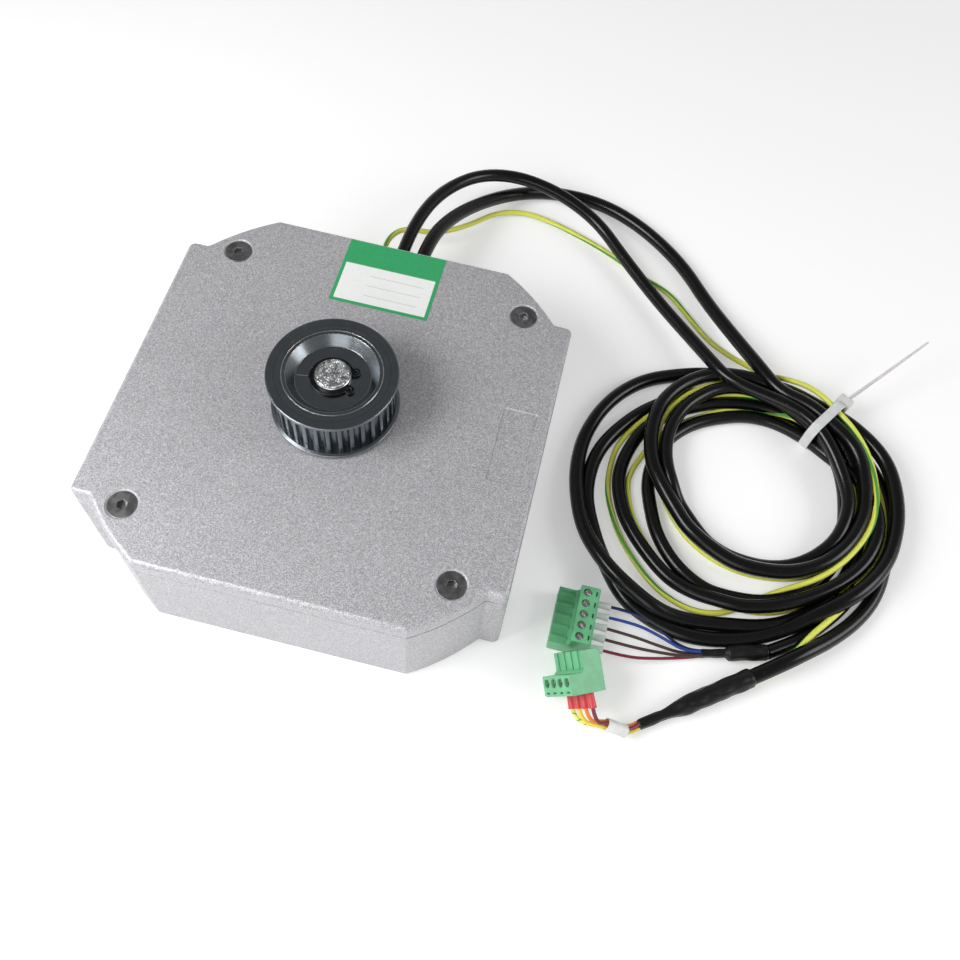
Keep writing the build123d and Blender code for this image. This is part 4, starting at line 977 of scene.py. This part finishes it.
def coil_points(keys: Sequence[Point]) -> tuple[Point, ...]:
    """Control points of a cable's turns, worked out between the places that the photograph fixes.

    Args:
        keys: Heading in degrees, distance from the coil's centre and height in millimetres, clockwise.

    Returns:
        Points in metres, about one coil step apart where the keys are further apart than that.
    """
    stops: list[Point] = []
    for (heading, distance, height), (turned, reach, level) in zip(keys, keys[1:]):
        sweep = (heading - turned) % 360.0
        steps = max(1, round(sweep / COIL_STEP_DEGREES))
        for part in (step / steps for step in range(steps)):
            stops.append(
                (heading - sweep * part, distance + (reach - distance) * part,
                 height + (level - height) * part)
            )
    stops.append(keys[-1])
    return tuple(
        (
            COIL_CENTRE[0] + distance * MM * cos(radians(heading)),
            COIL_CENTRE[1] + distance * MM * sin(radians(heading)),
            height * MM,
        )
        for heading, distance, height in stops
    )


class Solid:
    """Mesh piece under construction.

    Args:
        name: Name of the piece.
        slot: Material slot.
    """

    BEVEL_SEGMENTS = 3

    def __init__(self, name: str, slot: Slot) -> None:
        """Starts an empty mesh."""
        self.name = name
        self.slot = slot
        self.mesh = bmesh.new()

    def rings(self, loops: Sequence[Sequence[Vector]], closed: bool = False) -> "Solid":
        """Skins a row of closed loops with as many points each.

        Args:
            loops: The loops, in order.
            closed: Whether the last loop joins the first. Otherwise both ends get a face.

        Returns:
            The solid itself.
        """
        made = [[self.mesh.verts.new(point) for point in loop] for loop in loops]
        pairs = list(zip(made, made[1:]))
        if closed:
            pairs.append((made[-1], made[0]))
        for first, second in pairs:
            for i in range(len(first)):
                j = (i + 1) % len(first)
                self.mesh.faces.new((first[i], first[j], second[j], second[i]))
        if not closed:
            self.mesh.faces.new(list(reversed(made[0])))
            self.mesh.faces.new(made[-1])
        return self

    def finish(self, wardrobe: Wardrobe, node: str, bevel: float = 0.0) -> bpy.types.Object:
        """Turns the mesh into a shaded object on the motor's body.

        Args:
            wardrobe: Materials of the scene.
            node: Node that the piece stands for.
            bevel: Width of a rounded edge, or 0 for a piece that is smooth all over.

        Returns:
            The object.
        """
        bmesh.ops.recalc_face_normals(self.mesh, faces=self.mesh.faces)
        data = bpy.data.meshes.new(self.name)
        self.mesh.to_mesh(data)
        self.mesh.free()
        data.materials.append(wardrobe.material(self.slot))
        obj = bpy.data.objects.new(self.name, data)
        bpy.context.scene.collection.objects.link(obj)
        if bevel:
            rounding = obj.modifiers.new("rounding", "BEVEL")
            rounding.width = bevel
            rounding.segments = self.BEVEL_SEGMENTS
            rounding.limit_method = "ANGLE"
        for face in data.polygons:
            face.use_smooth = not bevel
        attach(obj, BODY)
        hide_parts(node)
        log.info("%s: %d faces", self.name, len(data.polygons))
        return obj


UP = Vector((0, 0, 1))
CORNERS = ((-1, -1), (1, -1), (1, 1), (-1, 1))


def side_vectors(along: Vector) -> tuple[Vector, Vector]:
    """Two unit vectors across a direction, the second pointing up."""
    across = along.cross(UP).normalized()
    return across, across.cross(along).normalized()


def circle(centre: Vector, first: Vector, second: Vector, radii: Sequence[float]) -> list[Vector]:
    """Closed loop round a centre.

    Args:
        centre: The centre.
        first: Unit vector to the first point.
        second: Unit vector at right angles to it.
        radii: Distance of each point from the centre.

    Returns:
        As many points as radii, evenly spaced.
    """
    angles = [2 * pi * i / len(radii) for i in range(len(radii))]
    return [centre + (first * cos(a) + second * sin(a)) * radius for a, radius in zip(angles, radii)]


def square(centre: Vector, first: Vector, second: Vector) -> list[Vector]:
    """Closed loop of four corners, from a centre and two half sides."""
    return [centre + first * a + second * b for a, b in CORNERS]


def rounded_rectangle(width: float, height: float, corner: float, count: int) -> list[tuple[Vector, Vector]]:
    """Evenly spaced points of a rectangle with round corners, centred on the origin.

    Args:
        width: Size along X.
        height: Size along Y.
        corner: Radius of the corners.
        count: Number of points.

    Returns:
        For each point its place and the unit vector that points out of the outline.
    """
    half_x, half_y = width / 2 - corner, height / 2 - corner
    centres = [Vector((a * half_x, b * half_y)) for a, b in CORNERS]
    arc = pi * corner / 2
    flats = [2 * half_x, 2 * half_y] * 2
    outline = []
    for i in range(count):
        run = (sum(flats) + 4 * arc) * i / count
        side = 0
        while run > flats[side] + arc:
            run -= flats[side] + arc
            side += 1
        turned = max(0.0, run - flats[side]) / corner
        bend = (side - 1) * pi / 2 + turned
        out = Vector((cos(bend), sin(bend)))
        along = Vector((cos(side * pi / 2), sin(side * pi / 2))) * min(run, flats[side])
        outline.append((centres[side] + along + out * corner, out))
    return outline


@dataclass(frozen=True)
class ShrinkSleeve:
    """Heat-shrink sleeve over the end of a cable.

    Attributes:
        name: Name of the piece.
        node: Node that it stands for.
        start: Where its wide end begins.
        towards: Point that its axis runs through.
        wide: Diameter over the cable.
        narrow: Diameter over the wires.
        lengths: Lengths of the wide stretch, the taper and the neck.
        folds: Depth of the folds.
        folds_along: How fast the folds change along it, to the metre.
        folds_round: How fast they change round it.
        lip: Length of the rolled lip at each end.
        lip_drop: How far its rim is drawn in, as a part of the radius.
        wires: Wires that show through its neck.
        wire_drop: Depth of the hollows between them, as a part of the radius.
        wire_angle: Turn of the wires about the axis in radians.
        stations: Loops along it.
        sides: Points round it.
    """

    name: str
    node: str
    start: Point
    towards: Point
    wide: float
    narrow: float
    lengths: tuple[float, float, float]
    folds: float
    folds_along: float = 170.0
    folds_round: float = 1.4
    lip: float = 0.0006
    lip_drop: float = 0.10
    wires: int = 4
    wire_drop: float = 0.10
    wire_angle: float = 0.7
    stations: int = 64
    sides: int = 40

    def radii(self, reach: float) -> list[float]:
        """Distances from the axis round one loop.

        Args:
            reach: Distance of the loop from the wide end.

        Returns:
            The distance of each point.
        """
        full, taper, _ = self.lengths
        slope = min(1.0, max(0.0, (reach - full) / taper))
        ease = slope * slope * (3 - 2 * slope)
        lip = min(1.0, min(reach, sum(self.lengths) - reach) / self.lip)
        rim = 1.0 - self.lip_drop + self.lip_drop * max(0.0, lip) ** 0.5
        base = (self.wide + (self.narrow - self.wide) * ease) / 2 * rim
        found = []
        for angle in (2 * pi * i / self.sides for i in range(self.sides)):
            wires = ease * self.wire_drop * base * (0.5 + 0.5 * cos(self.wires * angle + self.wire_angle))
            about = (cos(angle) * self.folds_round, sin(angle) * self.folds_round)
            fold = self.folds * (noise.noise(Vector((reach * self.folds_along, *about))) - 0.5)
            found.append(min(base, base - wires + fold))
        return found

    def build(self, wardrobe: Wardrobe) -> bpy.types.Object:
        """Makes the sleeve with rolled ends, ring folds and the wires showing through its neck."""
        start = Vector(self.start)
        along = (Vector(self.towards) - start).normalized()
        across, up = side_vectors(along)
        step = sum(self.lengths) / self.stations
        reaches = [i * step for i in range(self.stations + 1)]
        loops = [circle(start + along * reach, across, up, self.radii(reach)) for reach in reaches]
        return Solid(self.name, Slot.SHRINK).rings(loops).finish(wardrobe, self.node)


@dataclass(frozen=True)
class CableTie:
    """Nylon tie round the coil: ribbed strap, head with a lip, and free tail.

    Attributes:
        heading_degrees: Where round the coil it sits.
        inner_radius: Distance of its inner side from the coil's centre.
        outer_radius: Distance of its outer side.
        top: Height of its highest point.
        corner: Radius of its bends.
        thickness: Thickness of the strap.
        width: Width of the strap.
        rib: Depth of its ribs.
        head: Size of the head outwards, across and upwards.
        head_height: Height of the head's middle.
        head_profile: For each loop of the head its reach and its size, as parts of the head's.
        lip: How far the lip starts inside the head and stands out of it.
        lip_width: Half its width, as a part of the strap's.
        tail_heading_degrees: Where the free tail points.
        tail_length: Length of the tail along the floor.
        tail_rise: How much it climbs.
        tail_bend: The part of the climb that comes late.
        tail_tip: Width at its tip.
        tail_thickness: Half its thickness, as a part of the strap's.
        tail_end: Length of its blunt end, as a part of the tail's.
        tail_blunt: Width of that end, as a part of the tip's.
        strap_steps: Loops round the strap.
        tail_steps: Loops along the tail.
    """

    heading_degrees: float = 56.5
    inner_radius: float = 0.0366
    outer_radius: float = 0.0632
    top: float = 0.0194
    corner: float = 0.0062
    thickness: float = 0.0011
    width: float = 0.0048
    rib: float = 0.00018
    head: tuple[float, float, float] = (0.0056, 0.0070, 0.0066)
    head_height: float = 0.0135
    head_profile: tuple[tuple[float, float], ...] = ((0.0, 0.82), (0.14, 1.0), (0.86, 1.0), (1.0, 0.86))
    lip: tuple[float, float] = (0.0004, 0.0005)
    lip_width: float = 0.54
    tail_heading_degrees: float = 48.0
    tail_length: float = 0.0535
    tail_rise: float = 0.0100
    tail_bend: float = 0.25
    tail_tip: float = 0.0017
    tail_thickness: float = 0.45
    tail_end: float = 0.12
    tail_blunt: float = 0.35
    strap_steps: int = 132
    tail_steps: int = 90

    def outward(self) -> Vector:
        """Unit vector from the coil's centre to the tie."""
        return Vector((cos(radians(self.heading_degrees)), sin(radians(self.heading_degrees)), 0))

    def strap(self) -> list[list[Vector]]:
        """Loops of the strap, every second one thinner by a rib."""
        outward = self.outward()
        across = outward.cross(UP)
        reach = (self.inner_radius + self.outer_radius) / 2
        middle = Vector((*COIL_CENTRE, self.top / 2)) + outward * reach
        span = self.outer_radius - self.inner_radius
        loops = []
        outline = rounded_rectangle(span, self.top, self.corner, self.strap_steps)
        for step, (place, out) in enumerate(outline):
            rib = self.rib if step % 2 else 0.0
            radial = outward * out.x + UP * out.y
            centre = middle + outward * place.x + UP * place.y - radial * ((self.thickness + rib) / 2)
            loops.append(square(centre, across * (self.width / 2), radial * ((self.thickness - rib) / 2)))
        return loops

    def head_loops(self, at: Vector) -> list[list[Vector]]:
        """Loops of the head with softened ends.

        Args:
            at: Middle of the head's inner face.

        Returns:
            The loops.
        """
        outward = self.outward()
        across = outward.cross(UP)
        length, width, height = self.head
        return [
            square(at + outward * (reach * length), across * (width / 2 * size), UP * (height / 2 * size))
            for reach, size in self.head_profile
        ]

    def lip_loops(self, at: Vector) -> list[list[Vector]]:
        """Loops of the lip on the head's outer face, where the tail comes out.

        Args:
            at: Middle of the head's inner face.

        Returns:
            The loops.
        """
        outward = self.outward()
        half_side = outward.cross(UP) * (self.width * self.lip_width)
        inside, outside = self.lip
        return [
            square(at + outward * reach, half_side, UP * self.thickness)
            for reach in (self.head[0] - inside, self.head[0] + outside)
        ]

    def tail(self, at: Vector) -> list[list[Vector]]:
        """Loops of the free tail, which stands on its edge and climbs to its tip.

        Args:
            at: Middle of the tail's root.

        Returns:
            The loops.
        """
        angle = radians(self.tail_heading_degrees)
        along = Vector((cos(angle), sin(angle), 0))
        side = along.cross(UP)
        loops = []
        for step in range(self.tail_steps + 1):
            share = step / self.tail_steps
            taper = min(1.0, (1.0 - share) / self.tail_end + self.tail_blunt)
            half = (self.width + (self.tail_tip - self.width) * share) / 2 * taper
            rib = self.rib if step % 2 else 0.0
            rise = self.tail_rise * ((1.0 - self.tail_bend) * share + self.tail_bend * share * share)
            centre = at + along * (self.tail_length * share) + UP * rise - side * (rib / 2)
            half_side = self.thickness * self.tail_thickness - rib / 2
            loops.append(square(centre, side * half_side, UP * half))
        return loops

    def build(self, wardrobe: Wardrobe) -> bpy.types.Object:
        """Makes the tie as one piece."""
        outward = self.outward()
        reach = self.outer_radius - self.thickness
        head = Vector((*COIL_CENTRE, self.head_height)) + outward * reach
        root = head + outward * (self.head[0] - self.thickness)
        solid = Solid("cable_tie_strap", Slot.TIE).rings(self.strap(), closed=True)
        solid.rings(self.head_loops(head)).rings(self.lip_loops(head)).rings(self.tail(root))
        return solid.finish(wardrobe, "cable_tie", bevel=0.00012)


@dataclass(frozen=True)
class ExitBoots:
    """Grommet flange with a ribbed, tapered boot for each cable that leaves the housing.

    Attributes:
        height: Height of the exits.
        face: Distance of the housing's side from the axis.
        centres: Places of the cables along X.
        diameters: Diameters of the cables.
        flange: Width, height and thickness of the flange.
        flange_profile: For each of its loops the reach, as a part of its thickness, and the inset.
        flange_flat: Length left straight at its round ends.
        flange_sides: Points round it.
        length: Length of a boot.
        wall: Wall of a boot at its root.
        thinning: The part of that wall that is lost by the tip.
        root: How deep in the flange a boot starts, as a part of its thickness.
        ribs: Ribs along a boot.
        rib_depth: Depth of the grooves between them.
        rib_steps: Loops to a rib.
        sides: Points round a boot.
    """

    height: float = 0.030
    face: float = 0.090
    centres: tuple[float, float] = (-0.001, 0.009)
    diameters: tuple[float, float] = (SIGNAL_DIAMETER, POWER_DIAMETER)
    flange: tuple[float, float, float] = (0.026, 0.016, 0.002)
    flange_profile: tuple[tuple[float, float], ...] = ((0.0, 0.0), (0.6, 0.0), (0.9, 0.0003), (1.0, 0.0009))
    flange_flat: float = 0.00001
    flange_sides: int = 64
    length: float = 0.012
    wall: float = 0.0015
    thinning: float = 0.45
    root: float = 0.6
    ribs: int = 4
    rib_depth: float = 0.00045
    rib_steps: int = 12
    sides: int = 36

    def flange_loops(self) -> list[list[Vector]]:
        """Loops of the flange, an oval with a rounded outer edge."""
        width, height, thickness = self.flange
        middle = Vector((sum(self.centres) / 2, self.face, self.height))
        outline = rounded_rectangle(width, height, height / 2 - self.flange_flat, self.flange_sides)
        return [
            [
                middle + Vector((place.x - out.x * inset, reach * thickness, place.y - out.y * inset))
                for place, out in outline
            ]
            for reach, inset in self.flange_profile
        ]

    def boot_loops(self, x: float, diameter: float) -> list[list[Vector]]:
        """Loops of one boot.

        Args:
            x: Place of the cable along X.
            diameter: Diameter of the cable.

        Returns:
            The loops, from the flange outwards.
        """
        steps = self.rib_steps * self.ribs
        root = self.face + self.flange[2] * self.root
        loops = []
        for share in (step / steps for step in range(steps + 1)):
            groove = (0.5 + 0.5 * cos(2 * pi * self.ribs * share)) * min(1.0, 4 * share)
            wall = self.wall * (1.0 - self.thinning * share)
            radius = diameter / 2 + wall - self.rib_depth * groove
            centre = Vector((x, root + self.length * share, self.height))
            loops.append(circle(centre, Vector((1, 0, 0)), UP, [radius] * self.sides))
        return loops

    def build(self, wardrobe: Wardrobe) -> bpy.types.Object:
        """Makes the flange and its boots as one piece."""
        solid = Solid("grommet_boots", Slot.GROMMET).rings(self.flange_loops())
        for x, diameter in zip(self.centres, self.diameters):
            solid.rings(self.boot_loops(x, diameter))
        return solid.finish(wardrobe, "cable_grommet")


@dataclass(frozen=True)
class CableSet:
    """The two cables and the earth wire with their coil, sleeves and wires.

    Attributes:
        signal_sleeve: Sleeve at the end of the signal cable.
        power_sleeve: Sleeve at the end of the power cable, which takes the earth wire in.
    """

    signal_sleeve: ShrinkSleeve = ShrinkSleeve(
        "signal_shrink", "signal_shrink_sleeve", SIGNAL_TAIL[-1], SIGNAL_SHRINK_END,
        0.0074, 0.0044, (0.017, 0.002, 0.0106), 0.0005,
    )
    power_sleeve: ShrinkSleeve = ShrinkSleeve(
        "power_shrink", "power_shrink_sleeve", POWER_TAIL[-1], POWER_SHRINK_END,
        0.0088, 0.0052, (0.030, 0.014, 0.0108), 0.0005,
    )

    def cable(
        self, name: str, route: tuple[Point, ...], diameter: float, slot: Slot, length: float,
    ) -> Cord:
        """One of the three cables that share the coil.

        Args:
            name: Name of the piece, which its plain solids carry too.
            route: Control points.
            diameter: Diameter.
            slot: Material slot.
            length: Real length.

        Returns:
            The cord.
        """
        nodes = (f"{name}_lead", "cable_coil", f"{name}_tail")
        return Cord(name, route, diameter, slot, nodes, length, FarEnd.FITTING, Lay.COILED, Stiffness.MEDIUM)

    def build(self, wardrobe: Wardrobe, boots: bpy.types.Object, tie: bpy.types.Object) -> None:
        """Makes the sleeves, the cables and the wires.

        Args:
            wardrobe: Materials of the scene.
            boots: Rubber boots at the exits of both cables.
            tie: Tie round the coil.
        """
        signal_end = self.signal_sleeve.build(wardrobe)
        power_end = self.power_sleeve.build(wardrobe)
        signal_route = SIGNAL_LEAD + coil_points(SIGNAL_TURNS) + SIGNAL_TAIL
        power_route = POWER_LEAD + coil_points(POWER_TURNS) + POWER_TAIL
        earth_route = EARTH_LEAD + coil_points(EARTH_TURNS) + EARTH_TAIL
        self.cable("signal_cable", signal_route, SIGNAL_DIAMETER, Slot.JACKET, SIGNAL_LENGTH).build(
            wardrobe, (signal_end, boots, tie)
        )
        self.cable("power_cable", power_route, POWER_DIAMETER, Slot.JACKET, POWER_LENGTH).build(
            wardrobe, (power_end, boots, tie)
        )
        self.cable("earth_wire", earth_route, EARTH_DIAMETER, Slot.EARTH, EARTH_LENGTH).build(
            wardrobe, (power_end, "earth_terminal")
        )
        self.build_wires(wardrobe)

    def build_wires(self, wardrobe: Wardrobe) -> None:
        """Makes the wires from the sleeves to the plugs."""
        for number, (route, slot) in enumerate(zip(SIGNAL_WIRES, SIGNAL_WIRE_SLOTS), 1):
            Cord(
                f"signal_core_{number}", route, SIGNAL_WIRE_DIAMETER, slot, (f"signal_wire_{number}",),
                SIGNAL_WIRE_LENGTH, FarEnd.CONNECTOR, Lay.LOOSE, Stiffness.LIMP,
            ).build(wardrobe, ("signal_ferrules", "five_way_plug", "plug_clamp_screws"))
        power = zip(POWER_WIRES, POWER_WIRE_SLOTS, POWER_WIRE_LENGTHS)
        for number, (route, slot, length) in enumerate(power, 1):
            Cord(
                f"power_core_{number}", route, POWER_WIRE_DIAMETER, slot, (f"power_wire_{number}",),
                length, FarEnd.CONNECTOR, Lay.LOOSE, Stiffness.LIMP,
            ).build(wardrobe, ("power_ferrules", "four_way_plug", "marker_sleeve", "plug_clamp_screws"))


def build_camera() -> None:
    """Puts the camera at the photograph's place and angle."""
    data = bpy.data.cameras.new("camera")
    data.sensor_width = CAMERA_SENSOR_MM
    data.lens = CAMERA_LENS_MM
    data.clip_start = CAMERA_CLIP_START
    obj = bpy.data.objects.new("camera", data)
    axes = (Vector(CAMERA_RIGHT), -Vector(CAMERA_DOWN), -Vector(CAMERA_FORWARD))
    turned = Matrix(axes).transposed().to_4x4()
    obj.matrix_world = Matrix.Translation(CAMERA_PLACE) @ turned
    bpy.context.scene.collection.objects.link(obj)
    bpy.context.scene.camera = obj


@dataclass(frozen=True)
class Lamp:
    """Square area lamp that looks at the object.

    Attributes:
        name: Name of the lamp.
        place: Place in metres.
        size: Side in metres.
        power: Power in watts.
        aim: Point that it looks at.
    """

    name: str
    place: Point
    size: float
    power: float
    aim: Point = (0.08, 0.03, 0.0)

    def build(self) -> None:
        """Makes the lamp and turns it to its aim."""
        data = bpy.data.lights.new(self.name, "AREA")
        data.shape = "SQUARE"
        data.size = self.size
        data.energy = self.power
        obj = bpy.data.objects.new(self.name, data)
        obj.rotation_euler = (Vector(self.aim) - Vector(self.place)).to_track_quat("-Z", "Y").to_euler()
        obj.location = self.place
        bpy.context.scene.collection.objects.link(obj)


@dataclass(frozen=True)
class Studio:
    """Pale floor, soft world and lamps.

    Attributes:
        floor_half_side: Half a side of the floor.
        floor_drop: How far the floor lies under the object.
        floor: Colour of the floor.
        floor_glow: Light added to the floor where it is seen, so that it reads as white.
        floor_glow_far: The same far from the lamps.
        glow_range: Squares of the distances between which the one turns into the other.
        horizon: Strength of the world at the horizon.
        zenith: Strength of the world overhead.
        sky_range: Upward parts of a ray between which the one turns into the other.
        lamps: The lamps.
    """

    floor_half_side: float = 3.0
    floor_drop: float = 0.0002
    floor: Colour = grey(0.80)
    floor_glow: float = 0.40
    floor_glow_far: float = 0.85
    glow_range: tuple[float, float] = (0.25, 2.0)
    horizon: float = 0.58
    zenith: float = 0.18
    sky_range: tuple[float, float] = (0.05, 0.85)
    lamps: tuple[Lamp, ...] = (
        Lamp("key", (-0.36, -0.25, 0.50), 0.34, 3.65, (0.0, 0.0, 0.05)),
        Lamp("front", (-0.05, -0.85, 0.52), 0.6, 1.9),
        Lamp("side", (1.10, 0.10, 0.70), 0.6, 4.8),
    )

    def build_floor(self) -> None:
        """Makes the floor, which camera, glossy and transmission rays see as white but for shadows."""
        graph = Graph(bpy.data.materials.new("studio_floor"))
        rays = graph.make("ShaderNodeLightPath").outputs
        kinds = [Field(graph, rays[f"Is {kind} Ray"]) for kind in ("Camera", "Glossy", "Transmission")]
        seen = (kinds[0] + kinds[1] + kinds[2]).ramp(0.0, 1.0)
        diffuse = graph.node("ShaderNodeBsdfDiffuse", {"Color": self.floor})
        x, y, _ = graph.axes(graph.node("ShaderNodeTexCoord", output="Object"))
        strength = (x * x + y * y).ramp(*self.glow_range, self.floor_glow, self.floor_glow_far)
        glow = graph.node("ShaderNodeEmission", {"Color": self.floor, "Strength": seen * strength})
        both = graph.node("ShaderNodeAddShader", (diffuse, glow))
        graph.make("ShaderNodeOutputMaterial", (both,))
        mesh = bmesh.new()
        bmesh.ops.create_grid(mesh, x_segments=2, y_segments=2, size=self.floor_half_side)
        data = bpy.data.meshes.new("studio_floor")
        mesh.to_mesh(data)
        mesh.free()
        data.materials.append(graph.owner)
        floor = bpy.data.objects.new("studio_floor", data)
        floor.location = (0.0, 0.0, -self.floor_drop)
        bpy.context.scene.collection.objects.link(floor)

    def build_world(self) -> None:
        """Makes the world: soft light from the sides, less from overhead, white where the camera sees it."""
        graph = Graph(bpy.data.worlds.new("studio"))
        upward = graph.axes(graph.node("ShaderNodeTexCoord", output="Generated"))[2]
        strength = upward.ramp(*self.sky_range, self.horizon, self.zenith)
        light = graph.node("ShaderNodeBackground", {"Color": grey(1.0), "Strength": strength})
        white = graph.node("ShaderNodeBackground", {"Color": grey(1.0), "Strength": 1.0})
        seen = graph.node("ShaderNodeLightPath", output="Is Camera Ray")
        mixed = graph.node("ShaderNodeMixShader", (seen, light, white))
        graph.make("ShaderNodeOutputWorld", (mixed,))
        bpy.context.scene.world = graph.owner

    def build(self) -> None:
        """Makes floor, world and lamps, and sets the plain view transform."""
        self.build_floor()
        self.build_world()
        for lamp in self.lamps:
            lamp.build()
        bpy.context.scene.view_settings.view_transform = "Standard"


def main() -> None:
    """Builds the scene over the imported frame."""
    logging.basicConfig(level=logging.INFO)
    wardrobe = Wardrobe()
    build_camera()
    boots = ExitBoots().build(wardrobe)
    tie = CableTie().build(wardrobe)
    CableSet().build(wardrobe, boots, tie)
    for group in (CASING, BELT_DRIVE, PLUGS, remaining_solids()):
        group.dress(wardrobe)
    Studio().build()


if __name__ == "__main__":
    main()
